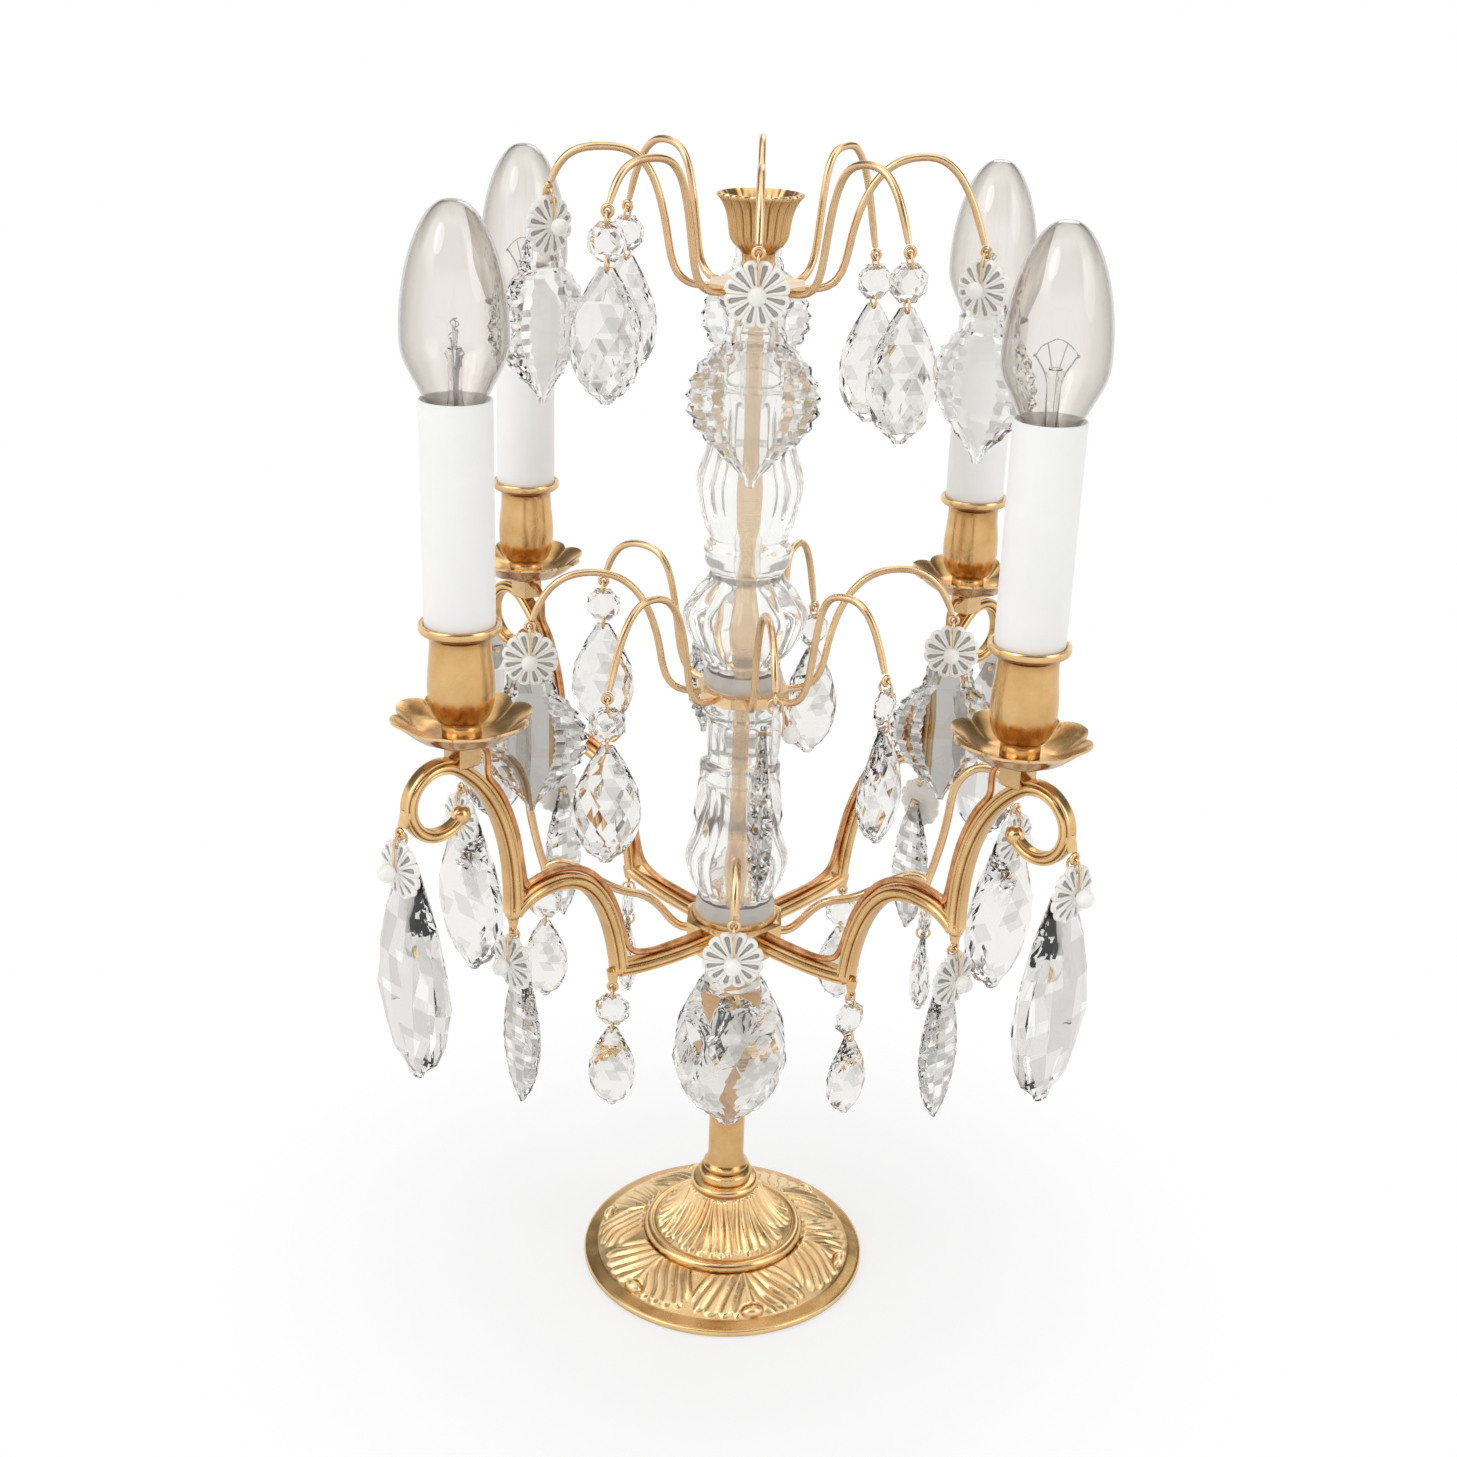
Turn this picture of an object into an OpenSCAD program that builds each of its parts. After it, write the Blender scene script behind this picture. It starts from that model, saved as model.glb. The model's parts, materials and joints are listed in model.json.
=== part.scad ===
// Four-light girandole: a table candelabrum hung with cut-glass drops.
// Millimetres, +Z up, origin at the centre of the foot's underside.
// The front faces -Y. Compass names: e is +X, n is +Y.

/* [Foot and stem] */
// Diameter of the foot
foot_d = 120; // [104:1:150]
// Height of the foot, to the top of its neck
foot_h = 38; // [32:1:48]
// Diameter of the foot's neck
foot_neck_d = 27; // [23:1:32]
// Diameter of the ridge that parts the two tiers of leaves
ridge_d = 64; // [54:1:72]
// Height of that ridge
ridge_h = 14; // [11:1:17]
// Width of the flat rim round the foot
rim_w = 5; // [3:0.5:7]
// Height of the rim
rim_h = 3; // [2:0.5:4]
// Thickness of the foot's wall
foot_wall = 4; // [3:0.5:5]
// Number of cast leaves in the lower tier
foot_leaves = 12; // [8:1:16]
// Number of cast leaves in the upper tier
neck_leaves = 8; // [6:1:10]
// How far the leaves stand up from the foot
leaf_relief = 1.2; // [0.6:0.1:1.8]
// Diameter of the stem
stem_d = 15; // [13:0.5:19]
// Length of the stem
stem_h = 110; // [80:1:140]
// Diameter of the turned collars at the stem's ends
collar_d = 22; // [20:0.5:25]
// Height of each collar
collar_h = 5; // [3:0.5:8]

/* [Hub and tie rod] */
// Width of the eight-sided hub across its flats
hub_w = 38; // [36:0.5:44]
// Height of the hub
hub_h = 17; // [15:0.5:22]
// Diameter of the rod that ties the column together
rod_d = 6; // [5:0.5:8]
// Radial clearance round the rod
rod_clear = 0.2; // [0.1:0.05:0.4]
// Width of the foot nut across its flats
nut_w = 11; // [10:0.5:14]
// Height of the foot nut
nut_h = 6.5; // [5:0.5:8]
// Diameter of the washer under the foot
washer_d = 20; // [18:0.5:22]
// Thickness of the washer
washer_t = 1.6; // [1:0.2:2.4]

/* [Glass column] */
// Height of the lower baluster
lower_h = 93; // [80:1:110]
// Diameter of the lower baluster's belly
lower_belly_d = 41; // [36:0.5:46]
// Height of the upper baluster
upper_h = 150; // [130:1:170]
// Diameter of the upper baluster's squat bulb
upper_belly_d = 48; // [40:0.5:54]
// Diameter of the necks between the bulbs
glass_neck_d = 26; // [22:0.5:29]
// Diameter of the glass end flanges
glass_flange_d = 32; // [29:0.5:33]
// Number of cut flutes round the glass
flutes = 12; // [8:1:14]
// Depth of the flutes
flute_depth = 1.6; // [0.6:0.1:2.2]

/* [Wire crowns] */
// Thickness of the plate that carries each crown of wires
plate_t = 4; // [3.6:0.2:6]
// Width of that eight-sided plate across its flats
plate_w = 34; // [33:0.5:38]
// Diameter of the crown wires
wire_d = 2.8; // [2.2:0.1:3.2]
// Radius at which the wires turn upward
knee_r = 32; // [28:0.5:36]
// Radius of the hanging eyes on the long top wires
top_long_r = 79; // [74:0.5:84]
// Height of those eyes above the plate
top_long_z = 23; // [16:0.5:30]
// Radius of the hanging eyes on the short top wires
top_short_r = 71; // [66:0.5:74]
// Height of those eyes above the plate
top_short_z = 21; // [14:0.5:28]
// Height of the top wires' arches above the plate
top_arch_h = 47; // [40:0.5:54]
// Radius of the hanging eyes on the long middle wires
mid_long_r = 82; // [78:0.5:86]
// Height of those eyes above the plate
mid_long_z = 27; // [22:0.5:32]
// Radius of the hanging eyes on the short middle wires
mid_short_r = 71; // [66:0.5:74]
// Height of those eyes above the plate
mid_short_z = 17; // [12:0.5:22]
// Height of the middle wires' arches above the plate
mid_arch_h = 48; // [42:0.5:54]
// Angle that the middle crown is turned, so its plaques miss the spray arms
mid_turn = 9; // [8:0.5:12]

/* [Top cup] */
// Diameter of the tulip cup's lip
cup_top_d = 31; // [26:0.5:36]
// Height of the tulip cup with its neck
cup_top_h = 31; // [26:0.5:36]
// Depth of the tulip cup
cup_top_depth = 16; // [12:0.5:18]
// Thickness of the cup's wall
cup_wall = 1.6; // [1.2:0.1:2]
// Number of flutes round the tulip cup
cup_flutes = 20; // [16:2:24]

/* [Candle arms] */
// Radius of the circle that the candles stand on
candle_r = 134; // [124:1:144]
// Height of the arms' roots above the hub's underside
root_h = 8; // [7:0.5:9]
// Radius of the low corner of each arm
lug_r = 62; // [56:0.5:68]
// Height of the low corner above the root
lug_h = 4; // [0:0.5:8]
// Height of the arch above the root
arch_h = 51; // [44:0.5:56]
// Radius of the cusp where the arm turns up
cusp_r = 113; // [106:0.5:117]
// Height of the cusp above the root
cusp_h = 45; // [40:0.5:50]
// Radius of the end scroll
scroll_r = 13; // [11:0.5:14]
// Depth of the scroll's centre below the top of the neck
scroll_below = 21; // [18:0.5:25]
// Distance of the scroll's centre outside the candle's axis
scroll_out = 10; // [8:0.5:12]
// Diameter of the bud that ends the scroll
bud_d = 7; // [6:0.25:8]
// Width of the arm's bar, seen from the side
bar_w = 6; // [5:0.25:7]
// Thickness of the arm's bar
bar_t = 5.5; // [4.5:0.25:6.5]
// Width of the raised bead along the bar
bead_w = 2.6; // [2:0.2:3.2]
// How far the bead stands out on each side
bead_out = 1; // [0.6:0.1:1.4]
// Width of the square neck under the drip pan
neck_w = 9; // [8:0.25:10]
// Height of the neck's top above the root
neck_h = 118; // [116:0.5:124]
// Diameter of the flex along each arm
flex_d = 2.6; // [2:0.1:3]
// Clearance between the flex and what it lies on
flex_clear = 0.3; // [0.2:0.05:0.5]

/* [Spray arms] */
// Diameter of the thin arms that carry drops only
spray_d = 3.4; // [2.8:0.1:4]
// Radius of their cusp
spray_cusp_r = 77; // [72:0.5:80]
// Height of their cusp above the root
spray_cusp_h = 24; // [20:0.5:28]
// Height of their top above the root
spray_top_h = 75; // [68:0.5:80]
// Radius of their end eye
spray_end_r = 110; // [105:0.5:116]
// Height of their end eye above the root
spray_end_h = 58; // [52:0.5:62]

/* [Candles] */
// Diameter of the scalloped drip pan
pan_d = 49; // [42:0.5:56]
// How far the pan is dished
pan_dish = 8; // [5:0.5:10]
// Thickness of the pan
pan_t = 1.6; // [1.2:0.1:2]
// Number of scallops round the pan
pan_scallops = 8; // [6:1:12]
// Height of the candle cup
cup_h = 40; // [34:0.5:48]
// Diameter of the candle cup's lip
cup_d = 28; // [27:0.25:31]
// Diameter of the candle cup's belly
cup_belly_d = 23; // [21:0.25:24]
// Diameter of the candle cup's neck
cup_neck_d = 20.8; // [20:0.2:22]
// Depth that the sleeve stands in the cup's rim
cup_depth = 2; // [1.5:0.1:2.4]
// Diameter of the candle sleeve
sleeve_d = 24; // [23:0.25:25]
// Thickness of the sleeve's wall
sleeve_wall = 1; // [0.8:0.1:1.4]
// Height of the sleeve above the cup's floor
sleeve_h = 77; // [66:1:86]
// Clearance between the sleeve and the cup
sleeve_clear = 0.2; // [0.1:0.05:0.4]
// Diameter of the threaded nipple up the candle
nipple_d = 10; // [9:0.25:11]
// Bore of the nipple for the flex
nipple_bore = 6; // [4:0.25:7]
// Clearance of the pan and cup round the nipple
nipple_clear = 0.2; // [0.1:0.05:0.4]
// Length of the lampholder
holder_h = 32; // [29:0.5:36]
// Depth of the lampholder's top below the sleeve's top
holder_drop = 6; // [4:0.5:9]
// Clearance between lampholder and sleeve
holder_clear = 0.3; // [0.2:0.05:0.5]
// Diameter of the lamp's screw cap
cap_d = 14; // [13.5:0.1:14.5]
// Length of the lamp's screw cap
cap_h = 26; // [24:0.5:28]
// Clearance round the lamp's cap
cap_clear = 0.3; // [0.2:0.05:0.5]
// Diameter of the lamp's glass
bulb_d = 35; // [32:0.5:37]
// Height of the lamp's glass above the sleeve
bulb_h = 62; // [54:0.5:70]
// Thickness of the lamp's glass
bulb_wall = 1; // [0.8:0.1:1.2]

/* [Hanging drops] */
// Diameter of the wire in the links
link_d = 1; // [0.8:0.05:1.1]
// Mean diameter of a link
link_loop_d = 5.2; // [5:0.1:5.6]
// Diameter of the flat hanging eyes
eye_d = 4.8; // [4.4:0.1:5]
// Thickness of the hanging eyes
eye_t = 1.6; // [1.4:0.1:1.8]
// Diameter of the hole in each eye
eye_hole_d = 1.8; // [1.7:0.05:2]
// Diameter of the holes drilled in the glass
glass_hole_d = 2.4; // [2.3:0.05:2.6]
// Distance of those holes from the edge of the glass
hole_edge = 1.8; // [1.7:0.05:2]
// Thickness of the drops at their drilled top
drop_top_t = 2.2; // [1.8:0.1:2.4]
// Width of the eight-sided beads across their flats
bead_af = 13.2; // [12.4:0.2:14.4]
// Thickness of the beads
bead_t = 5.2; // [4.4:0.2:6]
// Diameter of the rosettes
rosette_d = 21.6; // [19:0.2:23]
// Thickness of the rosettes
rosette_t = 4; // [3:0.2:5]
// Number of petals on a rosette
petals = 12; // [10:2:14]
// Diameter of the pin through the middle of each rosette
pin_d = 1.4; // [1.2:0.1:1.6]
// Diameter of the ball on that pin
ball_d = 6.4; // [5:0.2:7.4]
// Clearance between rosette, ball and drop along the pin
pin_clear = 0.3; // [0.2:0.05:0.5]
// Width, length and thickness of the stepped plaques
plaque = [45, 66, 9];
// Width, length and thickness of the long pear drops on the scrolls
long_pear = [40, 84, 11];
// Width, length and thickness of the leaf drops
leaf = [20, 62, 7];
// Width, length and thickness of the pear drops
pear = [26, 46, 11];
// Width, length and thickness of the small pear drops
small_pear = [19, 34, 9];
// Width, length and thickness of the large pear drops
big_pear = [41, 70, 12];

/* [Hidden] */
$fn = 64;
gilt = "#b98a3a";
old_gilt = "#96702f";
crystal = [0.86, 0.9, 0.93, 0.55];
copper = "#b5653a";

// Levels up the column
stem_z = foot_h;
hub_z = stem_z + stem_h;
lower_z = hub_z + hub_h;
mid_z = lower_z + lower_h;
upper_z = mid_z + plate_t;
top_z = upper_z + upper_h;
cup_top_z = top_z + plate_t;
rod_hole_r = rod_d / 2 + rod_clear;
ceiling_z = foot_h - 3.5 * foot_wall;
nut_z = ceiling_z - washer_t - nut_h;
rod_z = nut_z - 2;
rod_top_z = cup_top_z + cup_top_h - cup_top_depth - 2;

// Levels up a candle
root_z = hub_z + root_h;
pan_z = root_z + neck_h;
cup_z = pan_z + pan_t;
sleeve_z = cup_z + cup_h - cup_depth;
sleeve_top_z = sleeve_z + sleeve_h;
holder_top_z = sleeve_top_z - holder_drop;
holder_z = holder_top_z - holder_h;
contact_t = 3;
seat_r = cap_d / 2 - 0.6;
seat_h = 4;
seat_clear = 0.15;
cap_z = holder_z + contact_t + cap_clear;
nipple_hole_r = nipple_d / 2 + nipple_clear;

// Hanging points: distance of each hole and drop below the eye it hangs from
eye_seat = eye_d / 2 - 0.4;
link_r = link_loop_d / 2;
bead_hole = bead_af / 2 - hole_edge;
rosette_hole = rosette_d / 2 * 0.88 - hole_edge;
bead_drop = 2 * link_r + bead_hole;
rosette_drop = 2 * link_r + rosette_hole;

candle_az = [45, 135, 225, 315];
spray_az = [0, 90, 180, 270];
corner_name = ["ne", "nw", "sw", "se"];
side_name = ["e", "n", "w", "s"];
ring_name = ["e", "ne", "n", "nw", "w", "sw", "s", "se"];

// Way that each drop faces, as the photograph shows it, in degrees from +X
top_face = [230, 290, 270, 250, 318, 262, 270, 285];
mid_face = [265, 300, 350, 265, 275, 280, 0, 325];
spray_end_face = [315, 90, 225, 270];
spray_cusp_face = [0, 120, 270, 300];
lug_face = [90, 180, 265, 310];
cusp_face = candle_az;
scroll_face = candle_az;
// How each crown wire is bent by hand: degrees round, and millimetres out and up at its eye
straight = [0, 0, 0];
top_bend = [[0, 2, -8], [3, -4, -15], straight, straight, [0, -4, 9], [0, 0, 10], straight, straight];
mid_bend = [straight, [9, -9, 0], straight, [0, 0, 12], straight, [-4, 4, -1], [-1, 0, 0], [-3, -4, 4]];

// Eyes on the candle arms: radius and height of the hole above the root
lug_eye = [lug_r + 3, lug_h - bar_w / 2 - eye_seat - 2];
cusp_eye = [cusp_r, cusp_h - bar_w / 2 - eye_seat - 2.6];
scroll_h = neck_h - scroll_below;
scroll_c = [candle_r + scroll_out, scroll_h];
scroll_seat = scroll_c + [scroll_r, 0];
scroll_eye = scroll_seat + [link_r + 0.9, -bar_w / 2 - eye_seat - 2];
spray_cusp_eye = [spray_cusp_r, spray_cusp_h - spray_d / 2 - eye_seat - 1.5];
spray_end_eye = [spray_end_r, spray_end_h];

// Every hanging drop: node name, azimuth, eye radius, eye height, has a rosette, shape, face
function ring_drop(tag, z, turn, long, short, bend, face) = [for (i = [0:7])
    let (e = i % 2 == 0 ? long : short, b = bend[i])
    [str(tag, ring_name[i]), 45 * i + turn + b[0], e[0] + b[1], z + e[1] + b[2], i % 2 == 0,
        i % 2 == 0 ? "plaque" : "pear", face[i]]];
function arm_drop(tag, names, az, eye, rosette, shape, face) = [for (i = [0:3])
    [str(tag, names[i]), az[i], eye[0], root_z + eye[1], rosette, shape, face[i]]];

top_drops = ring_drop("top_drop_", top_z + plate_t / 2, 0,
    [top_long_r, top_long_z], [top_short_r, top_short_z], top_bend, top_face);
mid_drops = ring_drop("mid_drop_", mid_z + plate_t / 2, mid_turn,
    [mid_long_r, mid_long_z], [mid_short_r, mid_short_z], mid_bend, mid_face);
arm_drops = concat(
    arm_drop("lug_drop_", corner_name, candle_az, lug_eye, false, "small_pear", lug_face),
    arm_drop("cusp_drop_", corner_name, candle_az, cusp_eye, true, "leaf", cusp_face),
    arm_drop("scroll_drop_", corner_name, candle_az, scroll_eye, true, "long_pear", scroll_face),
    arm_drop("spray_cusp_drop_", side_name, spray_az, spray_cusp_eye, false, "small_pear", spray_cusp_face),
    arm_drop("spray_end_drop_", side_name, spray_az, spray_end_eye, true, "big_pear", spray_end_face));
drops = concat(top_drops, mid_drops, arm_drops);

// Points of a cubic curve through two ends with two handles, without its first point
function curve(a, b, c, d, n) = [for (i = [1:n]) let (t = i / n, u = 1 - t)
    u * u * u * a + 3 * u * u * t * b + 3 * u * t * t * c + t * t * t * d];

function unit(v) = v / norm(v);
// Direction of a path at one of its points, and the point moved sideways to the left
function along(p, i) = unit(p[min(i + 1, len(p) - 1)] - p[max(i - 1, 0)]);
function aside(p, i, off) = p[i] + off * [-along(p, i)[1], along(p, i)[0]];

// Solid through a list of rings that all have as many points, closed at both ends
module loft(rings) {
    n = len(rings[0]);
    m = len(rings);
    sides = [for (j = [0:m - 2]) for (i = [0:n - 1]) let (a = j * n + i, b = j * n + (i + 1) % n)
        each [[a, a + n, b], [b, a + n, b + n]]];
    ends = [[for (i = [0:n - 1]) i], [for (i = [0:n - 1]) m * n - 1 - i]];
    polyhedron([for (r = rings) each r], concat(sides, ends));
}

// Round wire along a path of [radius, height] points in the X-Z plane
module wire(path, d, sides) {
    loft([for (i = [0:len(path) - 1]) let (t = along(path, i))
        [for (k = [0:sides - 1]) let (a = 360 * k / sides, s = d / 2 * cos(a))
            [path[i][0] - s * t[1], -d / 2 * sin(a), path[i][1] + s * t[0]]]]);
}

// Flat bar along a path, tapering from w0 to w1, of thickness t across the X-Z plane
module bar(path, w0, w1, t) {
    n = len(path) - 1;
    w = [for (i = [0:n]) (w0 + (w1 - w0) * i / n) / 2];
    rotate([90, 0, 0])
        linear_extrude(t, center = true)
            polygon(concat(
                [for (i = [0:n]) aside(path, i, w[i])],
                [for (i = [n:-1:0]) aside(path, i, -w[i])]));
}

// Axis turned to face the given way, with the drill along local Z
module facing(face) {
    rotate([90, 0, face + 90]) children();
}

// Flat hanging eye at p, facing the given way, on a shank from q; eye_drill makes its hole
module eye(p, q, face) {
    translate([p[0], 0, p[1]]) facing(face) cylinder(d = eye_d, h = eye_t, center = true, $fn = 24);
    v = p - q;
    l = norm(v) - eye_d / 2 + 0.5;
    if (l > 0)
        translate([q[0], 0, q[1]]) rotate([0, atan2(v[0], v[1]), 0])
            cylinder(d = 2.2, h = l, $fn = 24);
}

module eye_drill(p, face) {
    translate([p[0], 0, p[1]])
        facing(face)
            cylinder(d = eye_hole_d, h = 3 * eye_t, center = true, $fn = 24);
}

// Foot

function foot_line() = let (r = foot_d / 2, k = ridge_d / 2, n = foot_neck_d / 2) concat(
    [[r, 0], [r, rim_h], [r - rim_w, rim_h + 1]],
    curve([r - rim_w, rim_h + 1], [r - rim_w - 8, rim_h + 4],
        [k + 12, ridge_h - 4], [k + 2, ridge_h - 2], 5),
    [[k + 2, ridge_h], [k, ridge_h + 1.6], [k - 2, ridge_h + 1]],
    curve([k - 2, ridge_h + 1], [k - 9, ridge_h + 3], [n + 2, ridge_h + 10], [n, foot_h - 4], 6),
    [[n, foot_h], [0, foot_h]]);

module foot_block() {
    rotate_extrude() polygon(concat([[0, 0]], foot_line()));
}

module foot_hollow() {
    k = ridge_d / 2;
    rotate_extrude()
        polygon([[0, -1], [foot_d / 2 - rim_w - 2, -1], [foot_d / 2 - rim_w - 2, 0.8],
            [k + 4, ridge_h - 2 - foot_wall], [k - 5, ridge_h - foot_wall],
            [washer_d / 2 + 1, ceiling_z], [0, ceiling_z]]);
}

// Outline of one lobed leaf lying along +X from r0 to r1
module leaf_outline(r0, r1, w) {
    half = [for (i = [0:10]) let (t = i / 10)
        [r0 + (r1 - r0) * t, 0.3 + w / 2 * sin(180 * pow(t, 0.75)) * (1 + 0.16 * cos(1260 * t))]];
    polygon(concat(half, [for (i = [10:-1:0]) [half[i][0], -half[i][1]]]));
}

module leaf_ring(r0, r1, n) {
    for (i = [0:n - 1])
        rotate(360 * (i + 0.5) / n) linear_extrude(foot_h) leaf_outline(r0, r1, 0.84 * PI * (r0 + r1) / n);
}

module foot() {
    color(gilt)
        difference() {
            union() {
                foot_block();
                intersection() {
                    translate([0, 0, leaf_relief]) foot_block();
                    union() {
                        leaf_ring(ridge_d / 2 + 4, foot_d / 2 - rim_w - 1, foot_leaves);
                        leaf_ring(foot_neck_d / 2 + 1.5, ridge_d / 2 - 4, neck_leaves);
                    }
                }
            }
            foot_hollow();
            translate([0, 0, -1]) cylinder(r = rod_hole_r, h = foot_h + 2);
            translate([0, 0, foot_h]) cylinder(d = 2 * foot_neck_d, h = 2 * leaf_relief);
        }
}

module foot_washer() {
    color("silver")
        translate([0, 0, ceiling_z - washer_t])
            difference() {
                cylinder(d = washer_d, h = washer_t);
                translate([0, 0, -1]) cylinder(r = rod_hole_r, h = washer_t + 2);
            }
}

module foot_nut() {
    color("silver")
        translate([0, 0, nut_z])
            difference() {
                cylinder(d = nut_w / cos(30), h = nut_h, $fn = 6);
                translate([0, 0, -1]) cylinder(r = rod_hole_r, h = nut_h + 2);
            }
}

// Stem, hub and tie rod

module stem() {
    s = stem_d / 2;
    c = collar_d / 2;
    half = concat([[c - 1, 0], [c, 1], [c, collar_h - 1], [c - 1, collar_h]],
        curve([c - 1, collar_h], [s + 1, collar_h], [s, collar_h + 2], [s, collar_h + 6], 4));
    color(gilt)
        translate([0, 0, stem_z])
            rotate_extrude()
                polygon(concat([[rod_hole_r, 0]], half,
                    [for (i = [len(half) - 1:-1:0]) [half[i][0], stem_h - half[i][1]]],
                    [[rod_hole_r, stem_h]]));
}

module hub() {
    color(gilt)
        translate([0, 0, hub_z])
            difference() {
                union() {
                    translate([0, 0, 1.5])
                        rotate(22.5)
                            cylinder(d = hub_w / cos(22.5), h = hub_h - 3, $fn = 8);
                    cylinder(d = hub_w - 4, h = hub_h);
                }
                translate([0, 0, -1]) cylinder(r = rod_hole_r, h = hub_h + 2);
            }
}

module tie_rod() {
    color("silver")
        translate([0, 0, rod_z]) cylinder(d = rod_d, h = rod_top_z - rod_z);
}

// Glass column

// Fluted ring of glass at height z; depth f cuts the flutes
function glass_ring(r, z, f) = [for (i = [0:3 * flutes - 1]) let (a = 360 * i / (3 * flutes))
    let (q = r - f * flute_depth * (1 - abs(cos(a * flutes / 2)))) [q * cos(a), q * sin(a), z]];

// Baluster through sections of [height, diameter, share of the flute depth]
module baluster(sections) {
    difference() {
        loft([for (s = sections) glass_ring(s[1] / 2, s[0], s[2])]);
        translate([0, 0, -1]) cylinder(r = rod_hole_r, h = sections[len(sections) - 1][0] + 2);
    }
}

module lower_baluster() {
    n = glass_neck_d;
    f = glass_flange_d;
    b = lower_belly_d;
    h = lower_h;
    color(crystal)
        translate([0, 0, lower_z])
            baluster([[0, f, 0], [5, f, 0], [8, n + 4, 0.3], [15, b - 4, 1], [24, b, 1], [36, b - 7, 1],
                [50, n, 0.6], [57, n, 0], [60, f, 0], [64, f, 0], [67, n, 0.6], [h - 12, n, 0.6],
                [h - 8, n + 2, 0], [h - 4, f, 0], [h, f, 0]]);
}

module upper_baluster() {
    n = glass_neck_d + 2;
    f = glass_flange_d;
    b = upper_belly_d;
    h = upper_h;
    color(crystal)
        translate([0, 0, upper_z])
            baluster([[0, f - 2, 0], [3, f - 1, 0], [9, n, 0.4], [19, b - 7, 1], [29, b, 1], [38, b - 9, 1],
                [46, n, 0.4], [50, f, 0], [55, f + 1, 0], [59, n + 2, 0], [64, f + 1, 0], [71, 37, 0.9],
                [80, 40, 1], [94, 33, 1], [110, n - 4, 0.6], [116, n - 3, 0], [119, f - 2, 0],
                [123, f - 2, 0], [127, n - 5, 0.5], [h - 8, n - 6, 0.5], [h - 4, f - 5, 0], [h, f - 5, 0]]);
}

// Wire crowns

// Path of one crown wire from the plate's flat, up over its arch, to the eye
function crown_path(eye, arch, r) = let (a = [eye[0] * 0.72, arch], k = [knee_r, 14]) concat(
    [[r, 0]],
    curve([r, 0], [r + 9, 0], [k[0] - 2, 2], k, 3),
    curve(k, k + [4, arch - 22], [a[0] - 13, arch], a, 4),
    curve(a, a + [(eye[0] - a[0]) * 0.6, 0], eye + [-4, 12], eye, 4));

module crown_plate(z, turn) {
    translate([0, 0, z]) rotate(turn)
        difference() {
            rotate(22.5) cylinder(d = plate_w / cos(22.5), h = plate_t, $fn = 8);
            translate([0, 0, -1]) cylinder(r = rod_hole_r, h = plate_t + 2);
        }
}

module crown_wires(z, list, bend, arch) {
    for (i = [0:7]) let (d = list[i], p = [d[2], d[3] - z])
        translate([0, 0, z]) rotate(d[1])
            difference() {
                union() {
                    wire(crown_path(p, arch, plate_w / 2 / cos(bend[i][0])), wire_d, 6);
                    eye(p, p, d[6] - d[1]);
                }
                eye_drill(p, d[6] - d[1]);
            }
}

module mid_crown_plate() {
    color(old_gilt) crown_plate(mid_z, mid_turn);
}

module mid_crown_wires() {
    color(old_gilt) crown_wires(mid_z + plate_t / 2, mid_drops, mid_bend, mid_arch_h);
}

module top_crown_plate() {
    color(old_gilt) crown_plate(top_z, 0);
}

module top_crown_wires() {
    color(old_gilt) crown_wires(top_z + plate_t / 2, top_drops, top_bend, top_arch_h);
}

module top_cup() {
    h = cup_top_h;
    r = cup_top_d / 2;
    d = h - cup_top_depth;
    outer = concat([[9, 0], [9, 1.5], [6, 3.5], [6, d - 6]],
        curve([6, d - 6], [6, d - 3], [r - 5, d - 3], [r - 4.5, d + 3], 4),
        curve([r - 4.5, d + 3], [r - 4, d + 8], [r - 3, h - 4], [r, h - 1.5], 4), [[r, h]]);
    inner = concat([[r - cup_wall, h]],
        curve([r - cup_wall, h], [r - 4.6, h - 4], [r - 6, d + 8], [r - 6.2, d + 4], 4),
        [[r - 9, d], [0, d]]);
    color(gilt)
        translate([0, 0, cup_top_z])
            difference() {
                rotate_extrude() polygon(concat([[0, 0]], outer, inner));
                translate([0, 0, -1]) cylinder(r = rod_hole_r, h = rod_top_z - cup_top_z + 1 + rod_clear);
                for (i = [0:cup_flutes - 1])
                    rotate(360 * i / cup_flutes) translate([r - 3.4, 0, d + 4])
                        rotate([0, 8, 0]) cylinder(d = 1.6, h = h - d - 7, $fn = 16);
            }
}

// Candle arms

arm_root = [hub_w / 2, 0];
arm_low = [lug_r, lug_h];
arm_arch = [lug_r + 0.62 * (cusp_r - lug_r), arch_h];
arm_cusp = [cusp_r, cusp_h];
scroll_from = 125;
scroll_to = -140;
function scroll_at(a, r) = scroll_c + r * [cos(a), sin(a)];

path_low = concat([arm_root], curve(arm_root, arm_root + [14, 0], arm_low - [14, 3], arm_low, 6));
path_arch = concat([arm_low],
    curve(arm_low, arm_low + [3, 24], arm_arch - [20, 1], arm_arch, 8),
    curve(arm_arch, arm_arch + [8, 0], arm_cusp + [-6, 5], arm_cusp, 4));
path_rise = concat([arm_cusp],
    curve(arm_cusp, arm_cusp + [-1, 28], scroll_at(scroll_from, scroll_r) - [17, 12],
        scroll_at(scroll_from, scroll_r), 9));
path_scroll = [for (i = [0:14]) let (t = i / 14)
    scroll_at(scroll_from + (scroll_to - scroll_from) * t, scroll_r * (1 - 0.12 * t * t))];

module arm_bars(k, t) {
    bar(path_low, k, k, t);
    bar(path_arch, k, k, t);
    bar(concat(path_rise, [for (i = [1:14]) path_scroll[i]]), k, 0.7 * k, t);
}

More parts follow.
